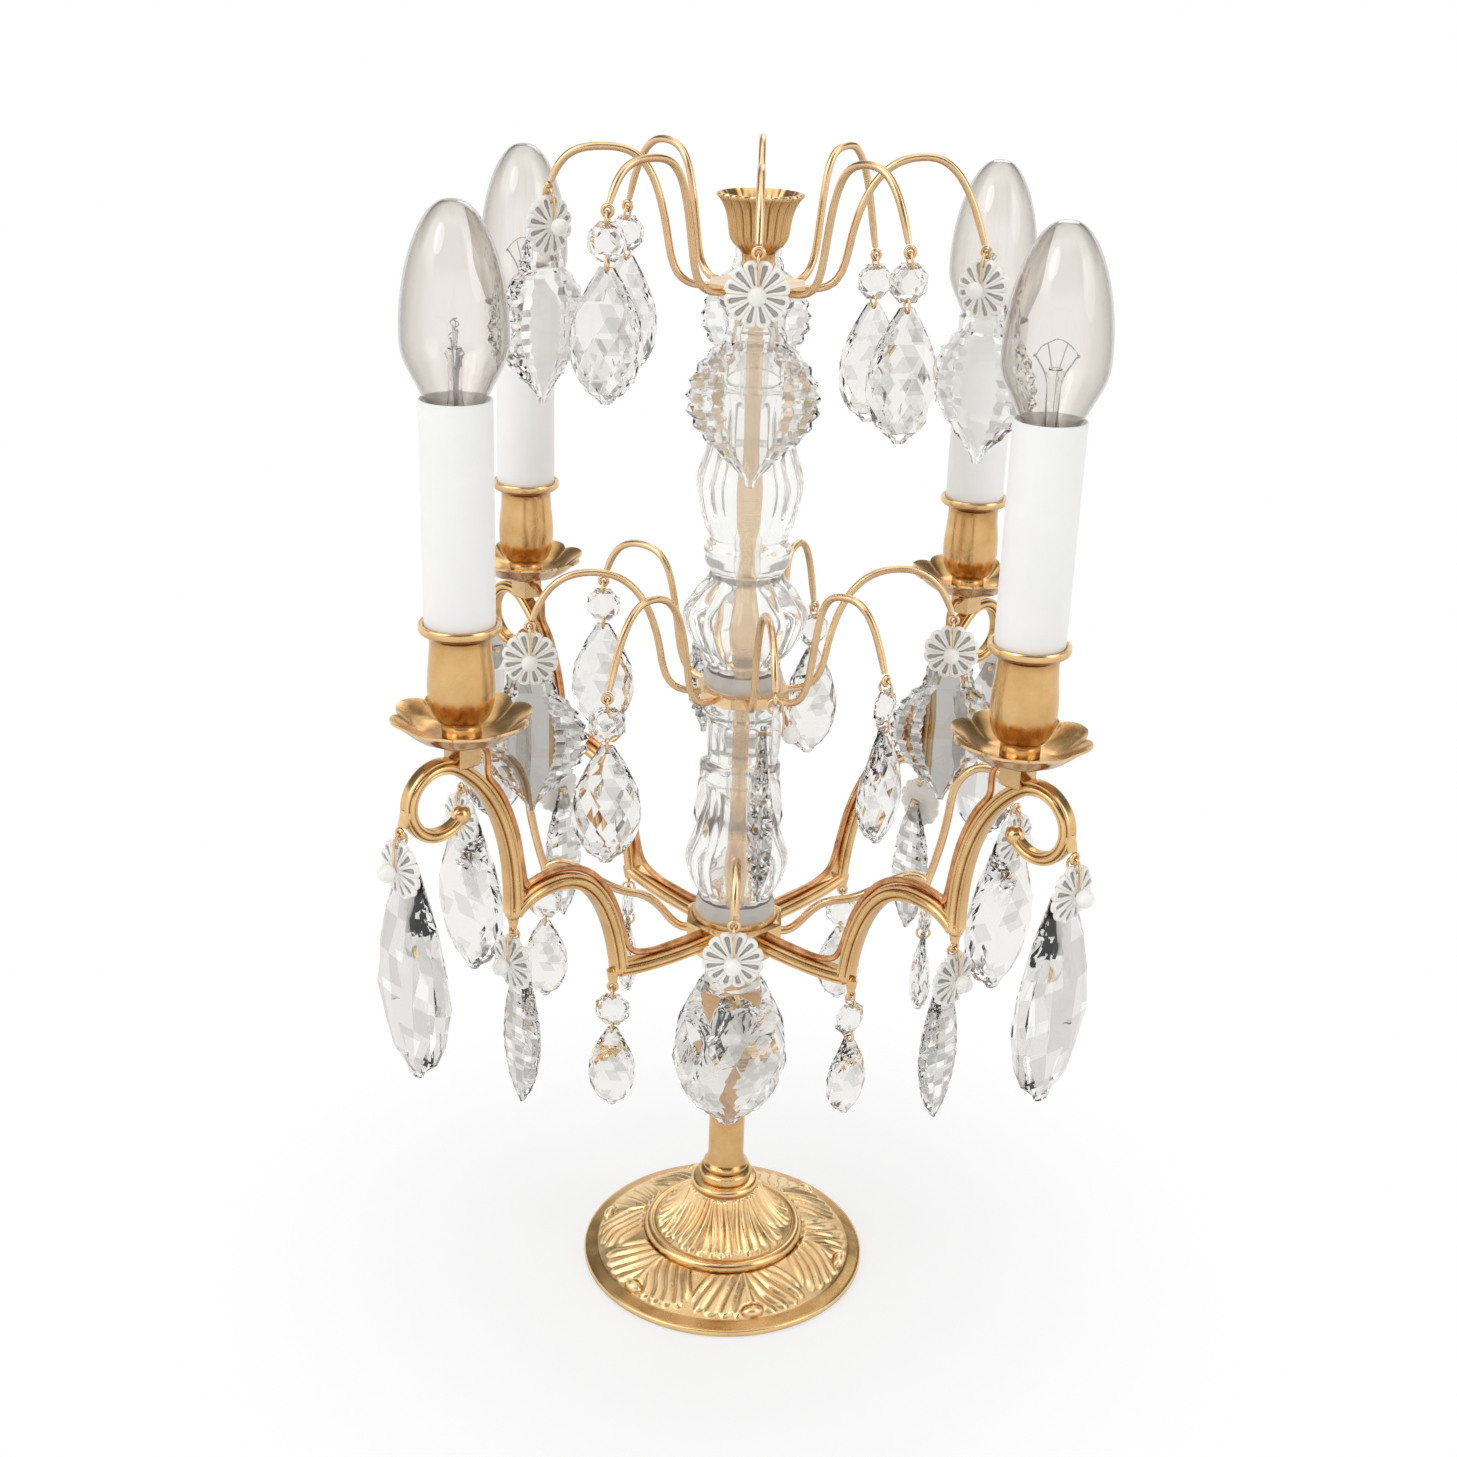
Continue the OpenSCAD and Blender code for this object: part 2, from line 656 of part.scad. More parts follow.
module candle_arm(i) {
    f = [for (v = [lug_face, cusp_face, scroll_face]) v[i] - candle_az[i]];
    difference() {
        union() {
            arm_bars(bar_w, bar_t);
            arm_bars(bead_w, bar_t + 2 * bead_out);
            translate([candle_r, 0, (scroll_h + scroll_r + neck_h) / 2 - 2])
                cube([neck_w, neck_w, neck_h - scroll_h - scroll_r + 4], center = true);
            translate([path_scroll[14][0], 0, path_scroll[14][1]])
                rotate([90, 0, 0])
                    cylinder(d = bud_d, h = bar_t + 2 * bead_out, center = true);
            eye(lug_eye, [lug_eye[0], lug_h], f[0]);
            eye(cusp_eye, arm_cusp, f[1]);
            eye(scroll_eye, scroll_seat, f[2]);
        }
        eye_drill(lug_eye, f[0]);
        eye_drill(cusp_eye, f[1]);
        eye_drill(scroll_eye, f[2]);
    }
}

module candle_arms() {
    color(gilt)
        for (i = [0:3]) rotate(candle_az[i]) translate([0, 0, root_z]) candle_arm(i);
}

// Flex along the inner side of each candle arm, from the hub to the neck
flex_off = bar_w / 2 + flex_d / 2 + flex_clear;
flex_path = concat(
    [[hub_w / 2 + flex_clear, flex_off]],
    [for (i = [2, 4]) aside(path_low, i, flex_off)],
    [arm_low + [-flex_off - 1, flex_off + 2]],
    [for (i = [2:10]) aside(path_arch, i, flex_off)],
    [arm_cusp + [-flex_off - 1, flex_off + 5]],
    [for (i = [3:7]) aside(path_rise, i, flex_off)],
    [for (v = [[6, 8.5], [3, 4.3], [flex_clear, 4]]) [candle_r - neck_w / 2 - v[0], neck_h - v[1]]]);

module arm_flexes() {
    color(copper)
        for (a = candle_az) rotate(a) translate([0, 0, root_z]) wire(flex_path, flex_d, 5);
}

// Spray arms

spray_in = [hub_w / 2, 0];
spray_knee = [0.55 * spray_cusp_r, 0.62 * spray_cusp_h];
spray_cusp = [spray_cusp_r, spray_cusp_h];
spray_side = [spray_cusp_r + 7, spray_top_h - 15];
spray_low_path = concat([spray_in],
    curve(spray_in, spray_in + [9, 0], spray_knee - [14, 1], spray_knee, 5),
    curve(spray_knee, spray_knee + [14, 1], spray_cusp + [-9, 10], spray_cusp, 5));
spray_high_path = concat([spray_cusp],
    curve(spray_cusp, spray_cusp + [4, 14], spray_side - [1, 12], spray_side, 5),
    curve(spray_side, spray_side + [2, 20], spray_end_eye + [-5, 22], spray_end_eye, 7));

module spray_arm(i) {
    f = [spray_cusp_face[i] - spray_az[i], spray_end_face[i] - spray_az[i]];
    difference() {
        union() {
            wire(spray_low_path, spray_d, 6);
            wire(spray_high_path, spray_d, 6);
            eye(spray_cusp_eye, spray_cusp, f[0]);
            eye(spray_end_eye, spray_end_eye, f[1]);
        }
        eye_drill(spray_cusp_eye, f[0]);
        eye_drill(spray_end_eye, f[1]);
    }
}

module spray_arms() {
    color(old_gilt)
        for (i = [0:3]) rotate(spray_az[i]) translate([0, 0, root_z]) spray_arm(i);
}

// Candles

module at_candles(z) {
    for (a = candle_az) rotate(a) translate([candle_r, 0, z]) children();
}

module drip_pan() {
    r = pan_d / 2;
    floor_r = neck_w * 0.9;
    top = curve([floor_r, 0], [r * 0.75, 0], [r * 0.8, pan_dish * 0.6], [r + 1, pan_dish], 6);
    difference() {
        intersection() {
            rotate_extrude()
                polygon(concat([[0, 0], [floor_r, 0]], top,
                    [for (i = [5:-1:0]) top[i] + [0, pan_t]], [[floor_r, pan_t], [0, pan_t]]));
            translate([0, 0, -1]) linear_extrude(pan_dish + pan_t + 2)
                polygon([for (i = [0:8 * pan_scallops - 1]) let (a = 360 * i / (8 * pan_scallops))
                    r * (0.87 + 0.13 * abs(sin(a * pan_scallops / 2))) * [cos(a), sin(a)]]);
        }
        translate([0, 0, -1]) cylinder(r = nipple_hole_r, h = pan_t + 2);
    }
}

module drip_pans() {
    color(gilt) at_candles(pan_z) drip_pan();
}

// Turned cup with a collar, a belly, a neck and a rim that holds the sleeve
module candle_cup() {
    r = cup_d / 2;
    b = cup_belly_d / 2;
    n = cup_neck_d / 2;
    h = cup_h;
    s = sleeve_d / 2 + sleeve_clear;
    f = nipple_hole_r + 1.7;
    rotate_extrude()
        polygon(concat([[nipple_hole_r, 0], [f, 0], [f, 3.8], [f - 0.4, 4.6]],
            curve([f - 0.4, 4.6], [f + 2.6, 5.4], [b, 10], [b, 17], 6),
            curve([b, 17], [b, 24], [n, 27], [n, h - 5.4], 5),
            [[n + 1, h - 4.2], [r - 0.6, h - 3.4], [r, h - 2.6], [r, h], [s, h],
            [s, h - cup_depth], [nipple_hole_r, h - cup_depth]]));
}

module candle_cups() {
    color(gilt) at_candles(cup_z) candle_cup();
}

module candle_sleeves() {
    color("white")
        at_candles(sleeve_z)
            difference() {
                cylinder(d = sleeve_d, h = sleeve_h);
                translate([0, 0, -1]) cylinder(d = sleeve_d - 2 * sleeve_wall, h = sleeve_h + 2);
            }
}

// Lampholder with the nipple that clamps pan and cup to the arm's neck
module lampholders() {
    r = sleeve_d / 2 - sleeve_wall - holder_clear;
    color("ivory")
        at_candles(0)
            difference() {
                union() {
                    translate([0, 0, pan_z]) cylinder(d = nipple_d, h = holder_z - pan_z);
                    translate([0, 0, holder_z]) cylinder(r = r, h = holder_h);
                }
                translate([0, 0, pan_z - 1]) cylinder(d = nipple_bore, h = holder_z - pan_z);
                translate([0, 0, holder_z + contact_t])
                    cylinder(d = cap_d + 2 * cap_clear, h = holder_h);
            }
}

// Line of the lamp's glass, w inside its outer face, from its seat in the cap to the tip
function bulb_line(w) =
    let (r = bulb_d / 2 - w, s = seat_r - seat_clear - w)
    let (c = cap_z + cap_h, t = sleeve_top_z, m = sleeve_d / 2 - sleeve_wall - 1 - w)
    concat([[0, c - seat_h + w], [s, c - seat_h + w], [s, c]],
        curve([s, c], [s, c + 3], [m, t - 1], [r - 4.3, t + 6], 5),
        curve([r - 4.3, t + 6], [r - 1, t + 12], [r, t + 15], [r, t + 20], 4),
        curve([r, t + 20], [r, t + bulb_h - 20],
            [r - 7.5, t + bulb_h - 1.5 - w], [2.2, t + bulb_h - 0.2 - w], 8),
        [[0, t + bulb_h - w]]);

module lamp(a) {
    rotate(a) translate([candle_r, 0, 0]) {
        color("lightgoldenrodyellow")
            translate([0, 0, cap_z])
                difference() {
                    cylinder(d = cap_d, h = cap_h);
                    translate([0, 0, cap_h - seat_h - seat_clear]) cylinder(r = seat_r, h = seat_h + 1);
                }
        color([0.95, 0.95, 0.9, 0.4])
            difference() {
                rotate_extrude() polygon(bulb_line(0));
                rotate_extrude() polygon(bulb_line(bulb_wall));
            }
    }
}

// Hanging drops

// Links lie across the eye's hole and the holes drilled in the glass
module link() {
    rotate([90, 0, 0]) rotate_extrude($fn = 24) translate([link_r, 0]) circle(d = link_d, $fn = 16);
}

module glass_drill(z) {
    translate([0, 0, z]) rotate([0, 90, 0]) cylinder(d = glass_hole_d, h = 30, center = true, $fn = 24);
}

// Eight-sided bead cut to a flat table on both faces, facing +X
module bead() {
    a = bead_af / 2 / cos(22.5);
    difference() {
        loft([for (s = [[0.52, -0.5], [0.72, -0.26], [1, -0.1], [1, 0.1], [0.72, 0.26], [0.52, 0.5]])
            [for (i = [0:7])
                let (b = 45 * i + 22.5)
                [s[1] * bead_t, a * s[0] * cos(b), a * s[0] * sin(b)]]]);
        glass_drill(bead_hole);
        glass_drill(-bead_hole);
    }
}

// Rosette of petals facing +X, drilled at its top and in its middle
module rosette() {
    r = rosette_d / 2;
    n = 2 * petals;
    difference() {
        loft([for (s = [[0.92, -0.25, 0.5], [1, 0, 1], [0.36, 0.6, 0.3]])
            [for (i = [0:n - 1])
                let (b = 90 + 360 * i / n, q = r * s[0] * (i % 2 == 0 ? 1 - 0.12 * s[2] : 1))
                [s[1] * rosette_t, q * cos(b), q * sin(b)]]]);
        glass_drill(rosette_hole);
        glass_drill(0);
    }
}

// Pin through the middle of a rosette, with a ball in front and a rivet head behind the drop
rosette_front = 0.6 * rosette_t;
rosette_back = 0.25 * rosette_t;
drop_back = rosette_back + pin_clear + 2.4;
pin_back = drop_back + drop_top_t / 2 + pin_clear;

module rosette_pin() {
    b = ball_d / 2;
    c = rosette_front + pin_clear + b;
    rotate([0, 90, 0])
        rotate_extrude($fn = 24)
            intersection() {
                union() {
                    translate([0, -pin_back - 0.8]) square([pin_d / 2, pin_back + 0.8 + c]);
                    translate([0, -pin_back - 0.8]) square([pin_d, 0.8]);
                    translate([0, c]) circle(r = b, $fn = 20);
                }
                translate([0, -50]) square([50, 100]);
            }
}

// Sections down a drop: share of its length, of its half width and of its thickness
pear_cut = [[0, 0.2, 0], [0.08, 0.38, 0.02], [0.22, 0.66, 0.22], [0.4, 0.92, 0.7], [0.58, 1, 1],
    [0.76, 0.88, 0.92], [0.9, 0.58, 0.6], [1, 0.16, 0.1]];
plaque_cut = [[0, 0.14, 0], [0.06, 0.2, 0.05], [0.1, 0.36, 0.15], [0.26, 0.48, 0.4], [0.32, 0.68, 0.7],
    [0.46, 0.94, 1], [0.58, 1, 1], [0.7, 0.86, 0.9], [0.83, 0.5, 0.5], [1, 0.06, 0]];
leaf_cut = [[0, 0.2, 0], [0.06, 0.3, 0.02], [0.2, 0.66, 0.2], [0.42, 0.95, 0.8], [0.58, 1, 1],
    [0.78, 0.78, 0.85], [0.92, 0.4, 0.5], [1, 0.06, 0]];

// Flat cut drop facing +X, hanging down from its drilled hole at the origin
module drop(size, cut) {
    difference() {
        loft([for (s = cut)
            let (w = size[0] / 2 * s[1], z = hole_edge - size[1] * s[0])
            let (t = (drop_top_t + (size[2] - drop_top_t) * s[2]) / 2, k = 0.55 * w)
            [[0, w, z], [t, k, z], [t, -k, z], [0, -w, z], [-t, -k, z], [-t, k, z]]]);
        glass_drill(0);
    }
}

module shaped_drop(shape) {
    if (shape == "plaque") drop(plaque, plaque_cut);
    if (shape == "long_pear") drop(long_pear, pear_cut);
    if (shape == "leaf") drop(leaf, leaf_cut);
    if (shape == "pear") drop(pear, pear_cut);
    if (shape == "small_pear") drop(small_pear, pear_cut);
    if (shape == "big_pear") drop(big_pear, pear_cut);
}

// Chain with a rosette: link, rosette, pin, and the drop that hangs on the pin behind the rosette
module rosette_chain(shape) {
    color(old_gilt) translate([0, 0, -link_r]) link();
    translate([0, 0, -rosette_drop]) {
        color(old_gilt) rosette_pin();
        color(crystal) {
            rosette();
            translate([-drop_back, 0, 0]) shaped_drop(shape);
        }
    }
}

// Chain with a bead: link, bead, second link and drop
module bead_chain(shape) {
    color(old_gilt)
        for (z = [-link_r, link_r - 2 * bead_drop]) translate([0, 0, z]) link();
    color(crystal) {
        translate([0, 0, -bead_drop]) bead();
        translate([0, 0, -2 * bead_drop]) shaped_drop(shape);
    }
}

module hanging(d) {
    rotate(d[1]) translate([d[2], 0, d[3]]) rotate(d[6] - d[1]) {
        if (d[4]) rosette_chain(d[5]);
        else bead_chain(d[5]);
    }
}

lamps = [for (i = [0:3]) [str("lamp_", corner_name[i]), candle_az[i]]];
body_nodes = ["foot", "foot_washer", "foot_nut", "stem", "hub", "tie_rod",
    "lower_baluster", "upper_baluster", "mid_crown_plate", "mid_crown_wires",
    "top_crown_plate", "top_crown_wires", "top_cup", "candle_arms",
    "arm_flexes", "spray_arms", "drip_pans", "candle_cups", "candle_sleeves", "lampholders"];

foot();
foot_washer();
foot_nut();
stem();
hub();
tie_rod();
lower_baluster();
upper_baluster();
mid_crown_plate();
mid_crown_wires();
top_crown_plate();
top_crown_wires();
top_cup();
candle_arms();
arm_flexes();
spray_arms();
drip_pans();
candle_cups();
candle_sleeves();
lampholders();
for (l = lamps) lamp(l[1]);
for (d = drops) hanging(d);
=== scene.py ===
import json
import math

import bmesh
import bpy
import numpy as np
from mathutils import Matrix, Vector


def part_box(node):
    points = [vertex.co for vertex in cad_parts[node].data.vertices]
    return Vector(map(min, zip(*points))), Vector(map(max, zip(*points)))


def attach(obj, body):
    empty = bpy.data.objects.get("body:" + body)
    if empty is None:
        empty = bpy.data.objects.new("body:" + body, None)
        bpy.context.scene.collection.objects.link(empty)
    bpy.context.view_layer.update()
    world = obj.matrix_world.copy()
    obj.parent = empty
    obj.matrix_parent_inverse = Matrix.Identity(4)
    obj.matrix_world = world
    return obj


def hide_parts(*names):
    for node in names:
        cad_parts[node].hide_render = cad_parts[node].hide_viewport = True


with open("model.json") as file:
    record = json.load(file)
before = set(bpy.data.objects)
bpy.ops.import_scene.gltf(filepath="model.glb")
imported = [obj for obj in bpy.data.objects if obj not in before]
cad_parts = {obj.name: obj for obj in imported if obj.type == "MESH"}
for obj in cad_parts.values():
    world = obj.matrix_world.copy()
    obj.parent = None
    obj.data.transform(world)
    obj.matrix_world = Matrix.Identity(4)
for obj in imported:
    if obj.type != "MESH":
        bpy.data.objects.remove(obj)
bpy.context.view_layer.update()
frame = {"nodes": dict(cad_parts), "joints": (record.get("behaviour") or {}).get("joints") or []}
NODES = frame["nodes"]
JOINTS = {j["child"]: j for j in frame["joints"]}
MM = 0.001
TAU = 2 * math.pi
# Distances for cleaning meshes and the depth of fine bumps, in metres
WELD, SLIVER = 3e-6, 1e-7
GRAIN = 0.0003

# Levels and radii of the part, in millimetres
FOOT_TOP = 38.0
HUB_Z = 148.0
ROOT_Z = 156.0
LOWER_Z = 165.0
MID_Z = 260.0
UPPER_Z = 262.0
TOP_Z = 414.0
TOP_CUP_Z = 416.0
HUB_R = 19.0
PLATE_R = 17.0
MID_ARCH = 48.0
TOP_ARCH = 47.0
CANDLE_R = 134.0
CORNERS = {"ne": 45, "nw": 135, "sw": 225, "se": 315}
SIDES = {"e": 0, "n": 90, "w": 180, "s": 270}


def low_high(name):
    """Lowest and highest corner of a CAD node, in millimetres."""
    return [np.array(v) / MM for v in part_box(name)]


PAN_Z = low_high("drip_pans")[0][2]
CUP_Z, CUP_TOP = (v[2] for v in low_high("candle_cups"))
SLEEVE_Z, SLEEVE_TOP = (v[2] for v in low_high("candle_sleeves"))
CAP_Z = low_high("lamp_ne")[0][2]
ROD_R = low_high("tie_rod")[1][0]
BORE_R = ROD_R + 0.4


# ---------------------------------------------------------------- mesh tools

class Shape:
    """Points and faces of one piece, in millimetres; marks lists the faces in its second material."""

    def __init__(self):
        self.points, self.faces, self.count, self.marks = [], [], 0, []

    def add(self, points, faces):
        points = np.asarray(points, float).reshape(-1, 3)
        self.points.append(points)
        self.faces += [tuple(i + self.count for i in f) for f in faces]
        self.count += len(points)
        return self

    def grid(self, p, closed=False):
        """Quads between rings of points; closed also joins the last ring to the first."""
        m, n = p.shape[:2]
        cells = ((j * n, (j + 1) % m * n, i, (i + 1) % n)
                 for j in range(m if closed else m - 1) for i in range(n))
        return self.add(p, [(a + i, a + k, b + k, b + i) for a, b, i, k in cells])

    def cap(self, ring):
        return self.add(ring, [tuple(range(len(ring)))])

    def merge(self, other, matrix):
        m = np.array(matrix)
        self.marks += [i + len(self.faces) for i in other.marks]
        return self.add(np.concatenate(other.points) @ m[:3, :3].T + m[:3, 3], other.faces)


def unit(v):
    return v / np.linalg.norm(v, axis=-1, keepdims=True)


def step(a, b, x):
    """Smooth rise from 0 to 1 while x goes from a to b."""
    t = np.clip((x - a) / (b - a), 0, 1)
    return t * t * (3 - 2 * t)


def bez(a, b, c, d, n):
    """Cubic curve without its first point."""
    t = np.linspace(0, 1, n + 1)[1:, None]
    a, b, c, d = (np.asarray(v, float) for v in (a, b, c, d))
    return (1 - t) ** 3 * a + 3 * (1 - t) ** 2 * t * b + 3 * (1 - t) * t * t * c + t ** 3 * d


def smooth_line(points, n):
    """Smooth curve through points, n samples between each two."""
    p = np.asarray(points, float)
    q = np.vstack([2 * p[0] - p[1], p, 2 * p[-1] - p[-2]])
    out = [p[:1]]
    for i in range(1, len(q) - 2):
        m0, m1 = (q[i + 1] - q[i - 1]) / 2, (q[i + 2] - q[i]) / 2
        out.append(bez(q[i], q[i] + m0 / 3, q[i + 1] - m1 / 3, q[i + 1], n))
    return np.vstack(out)


def pchip(x, y, xi):
    """Shape-keeping cubic through points, so that rims don't overshoot."""
    h, dl = np.diff(x), np.diff(y) / np.diff(x)
    m = np.zeros(len(x))
    for i in range(1, len(x) - 1):
        if dl[i - 1] * dl[i] > 0:
            w1, w2 = 2 * h[i] + h[i - 1], h[i] + 2 * h[i - 1]
            m[i] = (w1 + w2) / (w1 / dl[i - 1] + w2 / dl[i])
    k = np.clip(np.searchsorted(x, xi) - 1, 0, len(x) - 2)
    t = (xi - x[k]) / h[k]
    return ((1 + 2 * t) * (1 - t) ** 2 * y[k] + t * (1 - t) ** 2 * h[k] * m[k]
            + t * t * (3 - 2 * t) * y[k + 1] + t * t * (t - 1) * h[k] * m[k + 1])


def turned(az, p):
    """Points of [radius, height] in the upright plane at azimuth az, as 3-D points."""
    a = math.radians(az)
    r, z = np.asarray(p, float).T
    return np.stack([r * math.cos(a), r * math.sin(a), z], 1)


def round_rows(r, z, a):
    """Points at radius r and height z round Z; a holds the angles along a row."""
    x, y = r * np.cos(a), r * np.sin(a)
    return np.stack([x, y, np.broadcast_to(z, x.shape)], -1)


def tube(shape, path, radius, sides, closed=False):
    """Round wire along a 3-D path."""
    p = np.asarray(path, float)
    t = unit(np.roll(p, -1, 0) - np.roll(p, 1, 0) if closed else np.gradient(p, axis=0))
    radius = np.broadcast_to(radius, len(p))
    normal = np.array([0.0, 0, 1]) if abs(t[0][2]) < 0.9 else np.array([1.0, 0, 0])
    a = np.linspace(0, TAU, sides, endpoint=False)[:, None]
    rings = []
    for q, d, r in zip(p, t, radius):
        normal = unit(normal - d * normal.dot(d))
        rings.append(q + r * (np.cos(a) * normal + np.sin(a) * np.cross(d, normal)))
    rings = np.array(rings)
    shape.grid(rings, closed)
    if not closed:
        shape.cap(rings[0][::-1])
        shape.cap(rings[-1])


def lathe(profile, n=96, wave=None):
    """Closed line of [radius, height] turned round Z; wave(angle, k) scales the radius at point k."""
    p = np.asarray(profile, float)
    a = np.linspace(0, TAU, n, endpoint=False)
    k = np.ones((len(p), n)) if wave is None else wave(a[None, :], np.arange(len(p))[:, None])
    return Shape().grid(round_rows(p[:, :1] * k, p[:, 1:], a), closed=True)


def ball(shape, c, r, n, squash=(1, 1, 1)):
    v = np.linspace(-math.pi / 2, math.pi / 2, n // 2 + 1)[:, None]
    a = np.linspace(0, TAU, n, endpoint=False)
    shape.grid(round_rows(np.cos(v), np.sin(v), a) * r * np.array(squash) + np.asarray(c, float))


def at(az, r, z, face=None):
    """Matrix of a place at azimuth az, with its own X turned to face."""
    a = math.radians(az)
    m = Matrix.Translation((r * math.cos(a), r * math.sin(a), z))
    return m @ Matrix.Rotation(math.radians(az if face is None else face), 4, "Z")


def put(name, data):
    """New object of a data block, linked to the scene."""
    ob = bpy.data.objects.new(name, data)
    bpy.context.scene.collection.objects.link(ob)
    return ob


def piece(shape, name, material, body, smooth, replaces=(), marked=None):
    """Blender object of a shape: cleaned, shaded, dressed and riding on its body.

    Edges under smooth degrees are shaded smooth; marked is the material of the shape's marked faces.
    """
    mesh = bpy.data.meshes.new(name)
    mesh.from_pydata((np.concatenate(shape.points) * MM).tolist(), [], shape.faces)
    for i in shape.marks:
        mesh.polygons[i].material_index = 1
    bm = bmesh.new()
    bm.from_mesh(mesh)
    bmesh.ops.remove_doubles(bm, verts=bm.verts, dist=WELD)
    bmesh.ops.dissolve_degenerate(bm, dist=SLIVER, edges=bm.edges)
    bmesh.ops.recalc_face_normals(bm, faces=bm.faces)
    bm.to_mesh(mesh)
    bm.free()
    mesh.polygons.foreach_set("use_smooth", [True] * len(mesh.polygons))
    mesh.set_sharp_from_angle(angle=math.radians(smooth))
    mesh.materials.append(material)
    if marked:
        mesh.materials.append(marked)
    ob = put(name, mesh)
    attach(ob, body)
    if replaces:
        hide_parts(*replaces)


def dress(name, material):
    """Gives a CAD node its finished material."""
    mats = NODES[name].data.materials
    mats.clear()
    mats.append(material)


# ---------------------------------------------------------------- shader tools

def new_material(name):
    m = bpy.data.materials.new(name)
    m.use_nodes = True
    nt = m.node_tree
    return m, nt, nt.nodes["Principled BSDF"]


def node(nt, kind, **inputs):
    n = nt.nodes.new(kind)
    for k, v in inputs.items():
        n.inputs[k.replace("_", " ")].default_value = v
    return n


def noise(nt, scale, detail=4.0, rough=0.55):
    co = nt.nodes.new("ShaderNodeTexCoord")
    n = node(nt, "ShaderNodeTexNoise", Scale=scale, Detail=detail, Roughness=rough)
    nt.links.new(co.outputs["Object"], n.inputs["Vector"])
    return n.outputs["Fac"]


def grey(v):
    return (v, v, v)


def ramp(nt, fac, stops):
    r = nt.nodes.new("ShaderNodeValToRGB")
    e = r.color_ramp.elements
    while len(e) < len(stops):
        e.new(0.5)
    for el, (p, c) in zip(e, stops):
        el.position = p
        el.color = (*c, 1)
    nt.links.new(fac, r.inputs["Fac"])
    return r.outputs["Color"]


def map_range(nt, value, low, high, to=(0.0, 1.0), smooth=False):
    """Output that covers the range to while value goes from low to high."""
    n = node(nt, "ShaderNodeMapRange", From_Min=low, From_Max=high, To_Min=to[0], To_Max=to[1])
    if smooth:
        n.interpolation_type = "SMOOTHSTEP"
    nt.links.new(value, n.inputs["Value"])
    return n.outputs[0]


def calc(nt, operation, a, b):
    n = nt.nodes.new("ShaderNodeMath")
    n.operation = operation
    nt.links.new(a, n.inputs[0])
    nt.links.new(b, n.inputs[1])
    return n.outputs[0]


def mix(nt, fac, a, b):
    m = nt.nodes.new("ShaderNodeMix")
    m.data_type = "RGBA"
    for v, s in ((fac, m.inputs[0]), (a, m.inputs[6]), (b, m.inputs[7])):
        if isinstance(v, float):
            s.default_value = v
        elif isinstance(v, tuple):
            s.default_value = (*v, 1)
        else:
            nt.links.new(v, s)
    return m.outputs[2]


def mix_surface(nt, fac, first, second):
    """Surface that goes from one shader to another."""
    both = nt.nodes.new("ShaderNodeMixShader")
    for out, socket in zip((fac, first.outputs[0], second.outputs[0]), both.inputs):
        nt.links.new(out, socket)
    nt.links.new(both.outputs[0], nt.nodes["Material Output"].inputs["Surface"])


def bump(nt, bsdf, height, strength, distance=GRAIN):
    b = node(nt, "ShaderNodeBump", Strength=strength, Distance=distance)
    nt.links.new(height, b.inputs["Height"])
    nt.links.new(b.outputs["Normal"], bsdf.inputs["Normal"])


def tint_by(nt, bsdf, fac, stops):
    nt.links.new(ramp(nt, fac, stops), bsdf.inputs["Base Color"])


def rough_by(nt, bsdf, fac, *stops):
    nt.links.new(ramp(nt, fac, [(p, grey(v)) for p, v in stops]), bsdf.inputs["Roughness"])


# ---------------------------------------------------------------- materials

def metal(name, bright, body, dark, rough, wear_and_shade=True):
    """Patinated metal: cloudy colour, dark in hollows, bright along worn edges, with painted shade on faces that turn
    downwards.
    """
    m, nt, b = new_material(name)
    b.inputs["Metallic"].default_value = 1.0
    colour = ramp(nt, noise(nt, 90, 6, 0.6), [(0.2, dark), (0.42, body), (0.72, bright)])
    if wear_and_shade:
        geo = nt.nodes.new("ShaderNodeNewGeometry")
        edge = ramp(nt, geo.outputs["Pointiness"], [(0.44, grey(0)), (0.5, grey(0.5)), (0.56, grey(1))])
        sep = nt.nodes.new("ShaderNodeSeparateColor")
        nt.links.new(edge, sep.inputs["Color"])
        worn = ramp(nt, sep.outputs["Red"], [(0.0, dark), (0.5, body), (1.0, bright)])
        colour = mix(nt, 0.6, colour, worn)
        # Painted shade: the more a face turns downwards, the more it takes the dark colour.
        level = nt.nodes.new("ShaderNodeSeparateXYZ")
        nt.links.new(geo.outputs["Normal"], level.inputs[0])
        down = map_range(nt, level.outputs["Z"], 0.15, -0.85, (0.0, 0.62))
        colour = mix(nt, down, colour, dark)
    nt.links.new(colour, b.inputs["Base Color"])
    rough_by(nt, b, noise(nt, 160, 5, 0.65), (0.3, rough * 0.7), (0.7, rough * 1.5))
    bump(nt, b, noise(nt, 900, 5, 0.6), 0.04)
    return m


def let_light_through(nt, bsdf, share):
    """Glass that doesn't black out what stands behind it from the lamps."""
    clear = node(nt, "ShaderNodeBsdfTransparent", Color=(*grey(share), 1))
    path = nt.nodes.new("ShaderNodeLightPath")
    mix_surface(nt, path.outputs["Is Shadow Ray"], bsdf, clear)


def glass(name, tint, ior, rough, ripple=0.0, shadow=0.85, clear=1.0, rim=None):
    """Clear glass of a plain tint; rim instead tints a thin wall from face on to edge on, darker towards its outline:
    partly its longer path through the wall, partly painted shade.
    """
    m, nt, b = new_material(name)
    b.inputs["Base Color"].default_value = (*tint, 1)
    if rim:
        tint_by(nt, b, nt.nodes.new("ShaderNodeLayerWeight").outputs["Facing"], rim)
    b.inputs["Transmission Weight"].default_value = clear
    b.inputs["IOR"].default_value = ior
    rough_by(nt, b, noise(nt, 120, 4, 0.6), (0.35, rough * 0.3), (0.75, rough))
    if ripple:
        bump(nt, b, noise(nt, 60, 2, 0.4), ripple, 0.001)
    let_light_through(nt, b, shadow)
    return m


